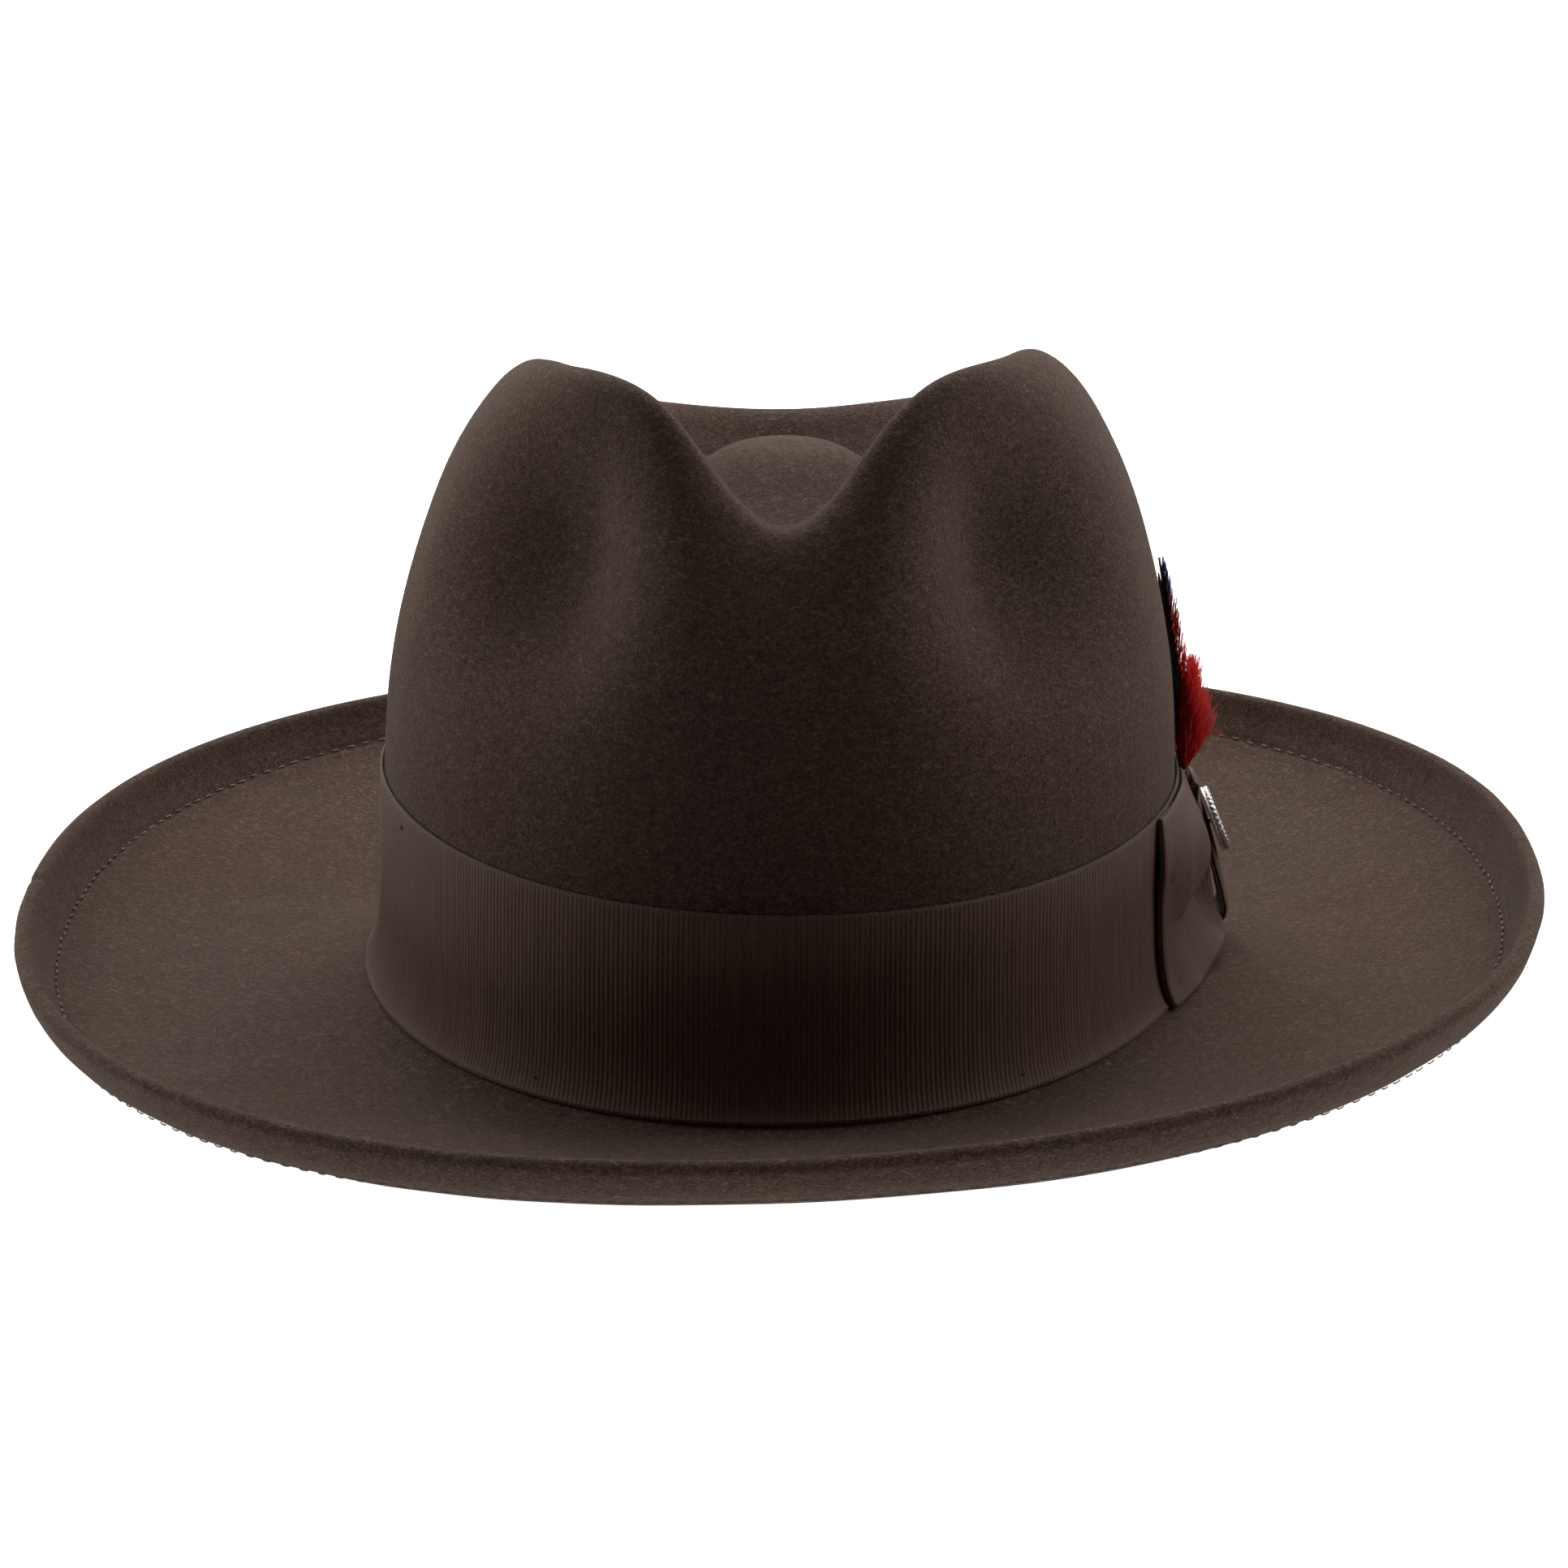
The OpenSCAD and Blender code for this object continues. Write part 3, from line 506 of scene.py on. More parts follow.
B = Build()
NF = 42000
for (u0, u1, n, under) in [(0.4, 14.9, int(NF * 0.45), 0), (18.7, 25.9, int(NF * 0.40), 0), (25.0, 25.98, int(NF * 0.15), 1)]:
    u, ff = sample(u0, u1, n)
    P = surf(u, ff)
    N_, A_ = nrm(u, ff), along(u, ff)
    S_ = np.cross(N_, A_)
    base = P + (np.where(u > 23.2, groove(u), 0) + even(u, P) - 0.05)[:, None] * N_
    if under:
        q = rng.uniform(0.1, math.pi, n)
        N_ = (np.cos(q)[:, None] * N_ + np.sin(q)[:, None] * A_)
        base = P - nrm(u, ff) * T2 / 2 + (surf(26.0, ff) - P) + N_ * (T2 / 2 - 0.05)
        A_ = np.cross(S_, N_)
    a = rng.uniform(0, 2 * math.pi, n)
    flat = np.cos(a)[:, None] * A_ + np.sin(a)[:, None] * S_
    lift = rng.uniform(0.15, 0.75, n) ** 1.2
    d = unit(flat * np.cos(lift)[:, None] + N_ * np.sin(lift)[:, None])
    L = rng.uniform(0.35, 1.0, n) * rng.choice([1.0, 1.0, 1.5], n)
    V, T = fibres(base, d, unit(np.cross(d, N_)), L, rng.uniform(0.018, 0.032, n), bend=-N_ * 0.12, segs=2)
    B.tris(V, T)
fuzz = B.make("felt_fibres", [FUZZ_M])

# ------------------------------------------------------------------ stitches of the underwelt
B = Build()
ts = np.linspace(-1, 1, 7)
for i in range(STITCHES):
    ff = (i + 0.5) * 360 / STITCHES + rng.normal() * 0.06
    half = rng.uniform(0.85, 1.25)
    g = half / 164 * 57.3
    hh = -0.62 + 0.50 * np.sqrt(np.maximum(0, 1 - (ts * 0.9) ** 2)) + rng.normal() * 0.03
    add_tube(B, off(24 + 0.02 * rng.normal() + 0.012 * ts, ff + g * ts, hh), 0.19, 5)
    hh = -T2 + 0.12 - 0.30 * np.sqrt(np.maximum(0, 1 - (ts * 0.9) ** 2))
    add_tube(B, off(24 + 0 * ts, ff + 0.77 + g * ts, hh), 0.16, 4)
st = B.make("welt_stitch_thread", [STITCH_M])
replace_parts(st, "welt_stitching"), st

# ------------------------------------------------------------------ grosgrain ribbon
PH = np.arange(6) / 6


def rib_height(x):
    return np.abs(np.sin(np.pi * x)) ** 0.8


def ribbon(B, point, ribs, rows, thick=0.5, amp=0.11, wrap=False, cord=0.26, m=0, ms=1, width=41.0, cords=(True, True)):
    """point(s, t) gives place and outward unit normal for s along the ribbon and t across it, both 0 to 1.
    Real ribs on both faces and a corded selvedge along each edge."""
    n = ribs * 6
    s = np.arange(n if wrap else n + 1) / n
    S_ = s[None]
    x = s * ribs
    t = np.asarray(rows)[:, None]
    P, N = point(S_, t)
    h = amp * (rib_height(x) - 0.5)[None] * np.clip(np.minimum(t, 1 - t) / 0.02, 0.3, 1)
    outer = P + (thick / 2 + h)[..., None] * N
    inner = (P - (thick / 2 + h)[..., None] * N)[::-1]
    G = np.concatenate([outer, inner])
    M = len(G)
    across = np.concatenate([np.asarray(rows), np.asarray(rows)[::-1], [rows[0]]]) * width
    xu = np.concatenate([x, [ribs]]) if wrap else x
    uv = np.stack(np.broadcast_arrays(xu[None], across[:, None]), -1)
    Q, UV = grid(G, True, wrap, uv)
    V = G.reshape(-1, 3)
    if not wrap:
        C = G.shape[1]
        kk = np.arange(M // 2 - 1)
        for col, fl in ((0, False), (C - 1, True)):
            q = np.stack([kk * C + col, (kk + 1) * C + col, (M - 2 - kk) * C + col, (M - 1 - kk) * C + col], -1)
            Q = np.concatenate([Q, q[:, ::-1] if not fl else q])
            UV = np.concatenate([UV, np.zeros((len(q), 4, 2))])
    n0 = B.n
    tri = np.concatenate([Q[:, [0, 1, 2]], Q[:, [0, 2, 3]]])
    flip = np.einsum("ij,ij->i", V[tri[:, 0]], np.cross(V[tri[:, 1]], V[tri[:, 2]])).sum() < 0
    B.quads(V, Q, UV, m, flip)
    for e, on in zip((0, -1), cords):
        if not on:
            continue
        path, pn = P[e], N[e]
        out = unit(P[e] - P[1 if e == 0 else -2])
        d = unit(np.cross(pn, out))
        q = np.arange(7) * 2 * math.pi / 7
        r = cord * (0.72 + 0.28 * np.abs(np.sin(np.pi * (x + 0.25))))
        ring = path[:, None] + out[:, None] * 0.05 + r[:, None, None] * (np.cos(q)[None, :, None] * pn[:, None] + np.sin(q)[None, :, None] * out[:, None])
        ang = np.linspace(0, 1, 8)
        uv = np.stack(np.broadcast_arrays(xu[:, None], ang[None]), -1)
        if not wrap:
            Q2, U2 = grid(ring, False, True, uv)
            R2, C2 = ring.shape[:2]
            V2 = np.concatenate([ring.reshape(-1, 3), ring[0].mean(0)[None], ring[-1].mean(0)[None]])
            jj = np.arange(C2)
            k2 = (jj + 1) % C2
            T2_ = np.concatenate([np.stack([np.full(C2, R2 * C2), jj, k2], -1), np.stack([np.full(C2, R2 * C2 + 1), (R2 - 1) * C2 + k2, (R2 - 1) * C2 + jj], -1)])
            tri = np.concatenate([Q2[:, [0, 1, 2]], Q2[:, [0, 2, 3]], T2_])
            fl = np.einsum("ij,ij->i", V2[tri[:, 0]], np.cross(V2[tri[:, 1]], V2[tri[:, 2]])).sum() < 0
            n1 = B.n
            B.quads(V2, Q2, U2, ms, fl)
            B.T.append((T2_[:, ::-1] if fl else T2_) + n1), B.MT.append(np.full(len(T2_), ms)), B.UT.append(np.zeros((len(T2_), 3, 2)))
        else:
            Q2, U2 = grid(ring, True, True, np.concatenate([uv, uv[:1] + [ribs, 0]])[: len(ring) + 1])
            V2 = ring.reshape(-1, 3)
            tri = np.concatenate([Q2[:, [0, 1, 2]], Q2[:, [0, 2, 3]]])
            fl = np.einsum("ij,ij->i", V2[tri[:, 0]], np.cross(V2[tri[:, 1]], V2[tri[:, 2]])).sum() < 0
            B.quads(V2, Q2, U2, ms, fl)


# arc length down the band's profile, so that rows across the ribbon are even
_u = np.linspace(15.0, 18.4, 200)
_L = np.concatenate([[0], np.cumsum(np.linalg.norm(np.diff(surf(_u, 75.0), axis=0), axis=-1))])


def band_u(t):
    return np.interp((1 - t) * _L[-1], _L, _u)


def band_point(s, t):
    fr = s * 360
    u, fr = np.broadcast_arrays(band_u(t), fr)
    wob = 0.10 * np.sin(np.radians(fr) * 7 + 1.0) + 0.06 * np.sin(np.radians(fr) * 17)
    u2 = u + (0.012 * wob * (1 - 2 * np.abs(t - 0.5)))
    return off(u2, fr, np.full(u.shape, (B0 + B1) / 2)), nrm(u2, fr)


RIBS = 612
B = Build()
ribbon(B, band_point, RIBS, np.concatenate([[0.0, 0.012], np.linspace(0.04, 0.96, 16), [0.988, 1.0]]), thick=0.62, amp=0.13, wrap=True)
band = B.make("hat_ribbon", [RIB_M, SELV], volume=False)
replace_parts(band, "ribbon_band"), band

# tacks that hold the ribbon
B = Build()
for u, ff in [(17.75, 331), (17.75, 29), (17.85, 210), (17.85, 150), (15.2, 300), (15.2, 180)]:
    for k_ in range(3):
        t_ = np.linspace(-1, 1, 7)
        add_tube(B, off(u + 0.02 * t_ * (k_ - 1), ff + 0.30 * t_ + 0.08 * (k_ - 1), 0.88 + 0.28 * np.cos(t_ * 1.5) + 0.05 * k_), 0.11, 5)
tack = B.make("ribbon_tack_thread", [TACK_M])
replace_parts(tack, "ribbon_tacks"), tack

# ------------------------------------------------------------------ bow
TT = np.array([0, 0.12, 0.25, 0.36, 0.41, 0.46, 0.50, 0.55, 0.62, 0.72, 0.85, 0.95, 1.0])
SEC = np.array([  # height off the band and height above the floor, for three sections from the front fold to the knot
    [[5.0, 12.6], [3.2, 17.0], [2.3, 22.3], [1.9, 26.7], [1.8, 28.7], [1.7, 30.8], [1.7, 32.4], [1.7, 34.5], [1.9, 37.3], [2.2, 41.5], [2.0, 46.8], [1.5, 50.8], [1.1, 52.8]],
    [[6.6, 13.4], [5.0, 16.8], [3.3, 21.0], [1.9, 25.5], [1.6, 27.3], [2.7, 28.6], [3.4, 30.5], [4.1, 33.5], [4.4, 37.0], [4.3, 41.5], [3.2, 47.8], [1.9, 52.2], [0.9, 54.2]],
    [[10.4, 17.4], [8.0, 19.4], [4.4, 23.3], [1.9, 28.0], [1.6, 30.0], [3.6, 31.0], [6.0, 33.2], [7.0, 36.2], [6.5, 39.6], [4.9, 44.0], [2.7, 49.0], [1.3, 52.4], [0.7, 53.4]]])
# inside the knot the gathered ribbon fills it
FILL = np.array([[10.0, 19.8], [9.4, 21.0], [8.3, 24.0], [7.7, 27.2], [7.4, 29.2], [7.3, 30.8], [7.2, 32.8], [6.9, 35.8], [6.2, 39.2], [4.7, 44.0], [2.5, 49.0], [1.2, 52.4], [0.6, 53.4]])


def smooth_interp(x, xp, fp):
    """Piecewise cubic through the points, with limited slopes, so that it doesn't overshoot."""
    h = np.diff(xp)
    d = np.diff(fp, axis=0) / h[:, None]
    mm = np.zeros_like(fp)
    same = d[:-1] * d[1:] > 0
    w1, w2 = (2 * h[1:] + h[:-1])[:, None], (h[1:] + 2 * h[:-1])[:, None]
    with np.errstate(divide="ignore", invalid="ignore"):
        mm[1:-1] = np.where(same, (w1 + w2) / (w1 / d[:-1] + w2 / d[1:]), 0)
    mm[0], mm[-1] = d[0], d[-1]
    x = np.clip(x, xp[0], xp[-1])
    i = np.clip(np.searchsorted(xp, x, side="right") - 1, 0, len(xp) - 2)
    t = ((x - xp[i]) / h[i])[..., None]
    hh = h[i][..., None]
    return ((2 * t**3 - 3 * t**2 + 1) * fp[i] + (t**3 - 2 * t**2 + t) * hh * mm[i] + (-2 * t**3 + 3 * t**2) * fp[i + 1] + (t**3 - t**2) * hh * mm[i + 1])


def wall(fr, z):
    """Outside of the band at angle fr and height z, carried straight down past its foot; with its outward direction."""
    S, C = np.sin(np.radians(fr)), np.cos(np.radians(fr))
    a = 87.0 + 0 * z
    b = np.where(C > 0, 104.2, 104.6)
    r = ((np.abs(S) / a) ** 2.15 + (np.abs(C) / b) ** 2.15) ** (-1 / 2.15)
    n = np.stack([np.sign(S) * (np.abs(S) / a) ** 1.15 / a, -np.sign(C) * (np.abs(C) / b) ** 1.15 / b, 0 * r], -1)
    return np.stack([r * S, -r * C, z + 0 * r], -1), unit(n)


def loop_surface(f_front, f_knot, deep, tilt):
    def outer(s, t):
        """s 0 at the fold, 1 at the knot."""
        s, t = np.broadcast_arrays(s, t)
        a = [smooth_interp(t, TT, SEC[q]) for q in range(3)]
        x = np.clip(s / 0.86, 0, 1)[..., None]
        w0, w1, w2 = np.clip(1 - x / 0.45, 0, 1), 1 - np.abs(x - 0.45) / np.where(x < 0.45, 0.45, 0.55), np.clip((x - 0.45) / 0.55, 0, 1)
        sm = lambda w: w * w * (3 - 2 * w)
        W = [sm(w0), sm(np.clip(w1, 0, 1)), sm(w2)]
        tot = W[0] + W[1] + W[2]
        hz = sum(wq * aq for wq, aq in zip(W, a)) / tot
        wf = sm(np.clip((s - 0.84) / 0.16, 0, 1))[..., None]
        hz = hz * (1 - wf) + smooth_interp(t, TT, FILL) * wf
        fr = f_front + (f_knot - f_front) * s + tilt * (1 - t) * (1 - s)
        h = hz[..., 0] * (1 + deep * s * 0.1)
        P, n = wall(fr, hz[..., 1])
        return P + h[..., None] * n, n, h, fr

    def inner(s, t):
        P, n, h, fr = outer(s, t)
        keep = np.exp(-4.5 * s)
        h2 = 0.45 + (np.maximum(h - 1.35, 0.45) - 0.45) * keep
        z = P[..., 2]
        zr = 13.5 + (53.0 - 13.5) * t
        z2 = z * keep + zr * (1 - keep)
        Pw, nw = wall(fr, z2)
        return Pw + h2[..., None] * nw

    def point(s, t):
        """s 0 at the knot on the outer ply, through the fold, to the knot again on the inner ply."""
        def place(s, t):
            s, t = np.broadcast_arrays(s, t)
            so = np.clip(1 - s / 0.485, 0, 1)
            si = np.clip((s - 0.515) / 0.485, 0, 1)
            Po = outer(so, t)[0]
            Pi = inner(si, t)
            fold = np.clip((s - 0.485) / 0.03, 0, 1)[..., None]
            A0, A1 = outer(np.zeros_like(s), t)[0], inner(np.zeros_like(s), t)
            fwd = unit(A0 - outer(np.full_like(s, 0.03), t)[0])
            rad = np.linalg.norm(A0 - A1, axis=-1, keepdims=True) / 2
            mid = (A0 + A1) / 2 + (A0 - A1) / 2 * np.cos(np.pi * fold) + fwd * rad * np.sin(np.pi * fold)
            return np.where(s[..., None] < 0.485, Po, np.where(s[..., None] > 0.515, Pi, mid))
        e = 0.0025
        s, t = np.broadcast_arrays(np.asarray(s, float), np.asarray(t, float))
        P = place(s, t)
        ds = place(np.clip(s + e, 0, 1), t) - place(np.clip(s - e, 0, 1), t)
        dt = place(s, np.clip(t + 0.01, 0, 1)) - place(s, np.clip(t - 0.01, 0, 1))
        N = unit(np.cross(ds, dt))
        if f_front < f_knot:
            N = -N
        return P, N
    return point


def clear_of_brim(B, gap=0.75):
    """Lifts bow vertices that would sink into the brim or the band's foot."""
    for V in B.V:
        r = np.hypot(V[:, 0], V[:, 1])
        fr = np.degrees(np.arctan2(V[:, 0], -V[:, 1]))
        uu = np.linspace(17.2, 20.5, 60)
        G = surf(uu[:, None], np.linspace(40, 140, 51)[None])
        gr, gz = np.hypot(G[..., 0], G[..., 1]), G[..., 2]
        fi = np.clip((fr - 40) / 2, 0, 50)
        i0 = np.floor(fi).astype(int).clip(0, 49)
        w = (fi - i0)[:, None]
        RR = gr[:, i0].T * (1 - w) + gr[:, i0 + 1].T * w
        ZZ = gz[:, i0].T * (1 - w) + gz[:, i0 + 1].T * w
        z = np.array([np.interp(r[k], RR[k], ZZ[k]) for k in range(len(r))]) if len(r) < 60000 else V[:, 2] - gap
        low = (V[:, 2] < z + gap) & (r > RR[:, 0])
        V[low, 2] = (z + gap)[low]


LROWS = np.concatenate([[0, 0.012], np.linspace(0.035, 0.965, 44), [0.988, 1.0]])
for nm, node_, a0, a1, deep, tilt in (("bow_loop_front", "bow_front_loop", 60.0, 88.5, 0.0, 0.0), ("bow_loop_rear", "bow_back_loop", 124.0, 96.5, -0.6, 1.5)):
    B = Build()
    ribbon(B, loop_surface(a0, a1, deep, tilt), 88, LROWS, thick=0.42, amp=0.12, cord=0.22)
    clear_of_brim(B)
    ob = B.make(nm, [RIB_M, SELV], volume=False)
    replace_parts(ob, node_), ob

# loose end of thread beside the front fold
B = Build()
v = np.linspace(0, 1, 26)
Pt, Nt = loop_surface(60.0, 88.5, 0.0, 0.0)(0.46 - 0.03 * np.sin(v * 2.6), 0.66 + 0.13 * v + 0.02 * np.sin(v * 7))
add_tube(B, Pt + (0.55 + 0.5 * np.sin(v * math.pi))[:, None] * Nt * np.sign((Nt * Pt).sum(-1).mean()), 0.10 * (1 - 0.5 * v), 5)
ob = B.make("loose_thread", [thread_material("loose_thread", (0.16, 0.12, 0.09), (0.36, 0.29, 0.23), 2.0)])

# knot: ribbon wrapped round the middle, its length running up and down
KP = np.array([[89.75, 27], [89.65, 36], [89.7, 46], [89.9, 49.8], [90.5, 50.9], [91.3, 50.2], [92.0, 46.8], [94.4, 39.5], [96.6, 31.5], [98.3, 25], [98.9, 21.6], [98.3, 19.2], [96.4, 18.3], [93.2, 18.6]])
_kl = np.concatenate([[0], np.cumsum(np.linalg.norm(np.diff(KP, axis=0), axis=1))])


def knot_point(shrink, half, skew=0.0):
    def place(s, t):
        s, t = np.broadcast_arrays(np.asarray(s, float), np.asarray(t, float))
        p = smooth_interp(s * _kl[-1], _kl, KP)
        c = np.array([94.0, 33.0])
        y = (t - 0.5) * 2
        pin = 1 - 0.10 * np.sin(np.pi * np.clip((s - 0.45) / 0.4, 0, 1))
        bow = 0.55 * (1 - y * y) - 0.35 * np.abs(y) ** 6
        d = unit(smooth_interp((s + 0.01) * _kl[-1], _kl, KP) - smooth_interp((s - 0.01) * _kl[-1], _kl, KP))
        n = np.stack([-d[..., 1], d[..., 0]], -1)
        n = n * np.sign((n * (p - c)).sum(-1, keepdims=True))
        p = p + n * ((bow - 0.55 - shrink)[..., None])
        return np.stack([p[..., 0], 4.5 + y * half * pin + skew * (s - 0.5), p[..., 1]], -1)

    def point(s, t):
        P = place(s, t)
        ds = place(np.clip(s + 0.004, 0, 1), t) - place(np.clip(s - 0.004, 0, 1), t)
        dt = place(s, np.clip(t + 0.02, 0, 1)) - place(s, np.clip(t - 0.02, 0, 1))
        N = unit(np.cross(ds, dt))
        out = P - np.array([94.0, 4.5, 33.0])
        sgn = np.sign((N * out).sum(-1).mean())
        return P, N * sgn
    return point


B = Build()
KR = np.concatenate([[0, 0.02], np.linspace(0.07, 0.93, 9), [0.98, 1.0]])
ribbon(B, knot_point(0.0, 7.1), 72, KR, thick=0.4, amp=0.13, cord=0.27, width=14.4)
ribbon(B, knot_point(0.72, 7.45, 0.25), 70, KR, thick=0.4, amp=0.11, cord=0.27, width=14.4)
knot = B.make("bow_knot_wrap", [RIB_M, SELV], volume=False)
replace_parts(knot, "bow_knot"), knot

# ------------------------------------------------------------------ feather
QX, KY = 88.4, 4.5
QZ = [0, 53, 63, 73, 79, 85, 91, 100, 106]
QD = [0, 0, -0.3, -1.2, -2.4, -3.4, -4.3, -5.7, -6.6]
TOPZ = 102.0


def quill(z):
    z = np.asarray(z, float)
    t = np.clip((z - 53) / (TOPZ - 53), 0, 1)
    return np.stack([QX + np.interp(z, QZ, QD), KY + 5.5 * t * t, z], -1)


def feather_material(name, stops, sheen=0.06, rough=0.6):
    """Colour by height along the feather."""
    s = Mat(name, rough=rough, sheen=sheen, spec=0.5)
    z = s.math("MULTIPLY", s.math("SUBTRACT", s.sep(s.obj, 2), 0.050), 1 / 0.052)
    wob = s.math("ADD", z, s.math("MULTIPLY", s.math("SUBTRACT", s.noise(350, 2), 0.5), 0.16))
    c = s.ramp(wob, stops)
    c = s.mix(s.ramp(s.noise(1500, 2), [(0.35, 0.5), (0.6, 0.0)]), c, s.mix(1.0, c, (0.55, 0.35, 0.38), "MULTIPLY"))
    s.colour(c)
    s.bump(s.noise(1800, 2, vec=s.scaled(s.obj, (1, 1, 0.2))), 0.00012, 0.7)
    return s.m


RED, CRIM, BLUE, BLACK = (0.92, 0.035, 0.026), (0.62, 0.016, 0.018), (0.022, 0.050, 0.26), (0.008, 0.008, 0.012)
VANE_M = feather_material("feather_vane", [(0.0, RED), (0.5, RED), (0.74, CRIM), (0.82, BLUE), (1.0, (0.03, 0.07, 0.34))])
BARB_M = feather_material("feather_barbs", [(0.0, BLACK), (0.7, (0.012, 0.010, 0.016)), (1.0, (0.012, 0.018, 0.05))])
HACK_M = feather_material("hackle", [(0.0, CRIM), (0.12, (0.80, 0.022, 0.018)), (0.5, (0.97, 0.042, 0.028))], sheen=0.08)
QUILL_M = feather_material("quill", [(0.0, (0.55, 0.47, 0.34)), (0.4, (0.42, 0.16, 0.12)), (1.0, (0.25, 0.05, 0.05))], rough=0.35)


def vane(B, z0, z1, dx, width, n, skew, cup, seed, thick=0.10):
    r = np.random.default_rng(seed)
    for sd in (-1, 1):
        for i in range(n):
            t = (i + 0.5) / n
            z = z0 + (z1 - z0) * t * 0.93
            q = quill(z)
            leaf = math.sin(min(max(t * 0.92 + 0.06, 0.02), 0.98) * math.pi) ** 0.55
            L = width / 2 * leaf * r.uniform(0.90, 1.06)
            rise = L * r.uniform(1.05, 1.3)
            split = 0.5 * math.sin(i * 0.55 + sd) * (r.random() < 0.25)
            v = np.linspace(0, 1, 7)
            y = sd * (L * np.sin(v * 1.45) / math.sin(1.45)) + skew * t
            zz = z + rise * v ** 1.5 * 0.92 + split * v
            zz = np.minimum(zz, z1 + 1.5)
            x = QX + np.interp(zz, QZ, QD) + dx * (1 - 0.45 * t) + cup * (1 - 0.8 * t) * v ** 1.3 * r.uniform(0.55, 1.1) + r.normal() * 0.05
            yy = KY + 5.5 * np.clip((zz - 53) / (TOPZ - 53), 0, 1) ** 2 + y
            yy = yy + (q[1] - (KY + 5.5 * np.clip((zz - 53) / (TOPZ - 53), 0, 1) ** 2)) * (1 - v) * 0
            add_tube(B, np.stack([x, yy, zz], -1), (0.30 * (1 - 0.55 * v)), 4, up=(1, 0, 0.02), flat=thick / 0.30)


B = Build()
zs = np.linspace(30, 98, 40)
add_tube(B, quill(zs), np.where(zs < 57, 0.6, 0.6 * (1 - 0.62 * (zs - 56) / 46)), 10, up=(0, 1, 0))
ob = B.make("feather_shaft", [QUILL_M], body="feather")
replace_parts(ob, "feather_quill"), ob
B = Build()
vane(B, 56, TOPZ - 3, 0.55, 14.4, 160, 0.0, 3.9, 5)
ob = B.make("feather_vane_barbs", [VANE_M], body="feather")
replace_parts(ob, "feather_vane"), ob
B = Build()
vane(B, 58, TOPZ - 7, -0.6, 14.6, 130, 0.8, -1.3, 6, thick=0.08)
ob = B.make("feather_dark_barbs", [BARB_M], body="feather")
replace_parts(ob, "feather_barbs"), ob
# hackle: soft strands that rise from the binding and lean outwards
B = Build()
r = np.random.default_rng(21)
NH = 1150
TZ = [52, 56, 60, 63.5, 68, 72, 76, 79]
TL_, TR_ = [87.6, 86.6, 86.2, 86.3, 86.7, 87.6, 89.2, 90.4], [89.6, 92.0, 95.0, 95.8, 94.8, 93.0, 91.6, 91.0]
for i in range(NH):
    z_end = 57 + 20.5 * r.random() ** 0.8
    w_ = r.random()
    ex = np.interp(z_end, TZ, TL_) * (1 - w_) + np.interp(z_end, TZ, TR_) * w_
    half = 6.4 * math.sin(math.pi * min(1, 0.18 + 0.75 * (z_end - 54) / 25)) ** 0.8
    ey = KY + 0.4 + half * (2 * r.random() - 1) * math.sqrt(max(0, 1 - (2 * w_ - 1) ** 2) * 0.75 + 0.25)
    q = r.uniform(0, 2 * math.pi)
    b = np.array([QX + 0.35 + 0.6 * math.cos(q), KY + 1.0 * math.sin(q), r.uniform(51.6, 56.5)])
    e_ = np.array([ex, ey, z_end])
    mid = b + (e_ - b) * 0.5 + np.array([0.10 * (ex - 89) + 0.35 * r.normal(), 0.35 * r.normal() + 0.12 * (ey - KY), 0.25 * r.normal() - 0.6])
    v = np.linspace(0, 1, 7)[:, None]
    path = (1 - v) ** 2 * b + 2 * v * (1 - v) * mid + v * v * (e_ + np.array([0.5 * r.normal(), 0.4 * r.normal(), 0.0]) * v)
    add_tube(B, path, (0.15 * (1 - 0.75 * v[:, 0])), 3, up=(1, 0, 0.1))
for (a, b_, c_) in [((90.5, KY + 1, 57), (93.8, KY + 1, 60.5), (97.4, KY + 0.5, 59.5)), ((90.3, KY - 2, 60), (91.6, KY - 3, 70), (92.2, KY - 3, 76.5)), ((90.6, KY - 1, 57), (93.6, KY - 2, 63), (95.8, KY - 2, 66.5)), ((89.6, KY, 60), (90.4, KY - 1, 72), (89.6, KY - 1, 78.0))]:
    v = np.linspace(0, 1, 9)[:, None]
    a, b_, c_ = map(np.array, (a, b_, c_))
    path = (1 - v) ** 2 * a + 2 * v * (1 - v) * b_ + v * v * c_
    add_tube(B, path, 0.12 * (1 - 0.7 * v[:, 0]), 4, up=(0, 1, 0.1))
    for q in np.linspace(0.3, 0.95, 12):
        p = (1 - q) ** 2 * a + 2 * q * (1 - q) * b_ + q * q * c_
        for sd in (-1, 1):
            w = np.linspace(0, 1, 4)[:, None]
            add_tube(B, p + w * np.array([0.5, sd * 0.9, 0.9]), 0.05 * (1 - 0.7 * w[:, 0]), 3, up=(1, 0, 0.1))
ob = B.make("hackle_strands", [HACK_M], body="feather")
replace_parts(ob, "hackle_tuft"), ob
BIND_M = thread_material("binding_thread", (0.05, 0.012, 0.010), (0.13, 0.035, 0.028), 2.0)
B = Build()
w = np.linspace(0, 1, 12 * 9)
add_tube(B, np.stack([QX + 0.82 * np.cos(w * 2 * math.pi * 9), KY + 0.82 * np.sin(w * 2 * math.pi * 9), 51.7 + 3.0 * w], -1), 0.19, 6)
ob = B.make("feather_whipping", [BIND_M], body="feather")
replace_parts(ob, "feather_binding"), ob

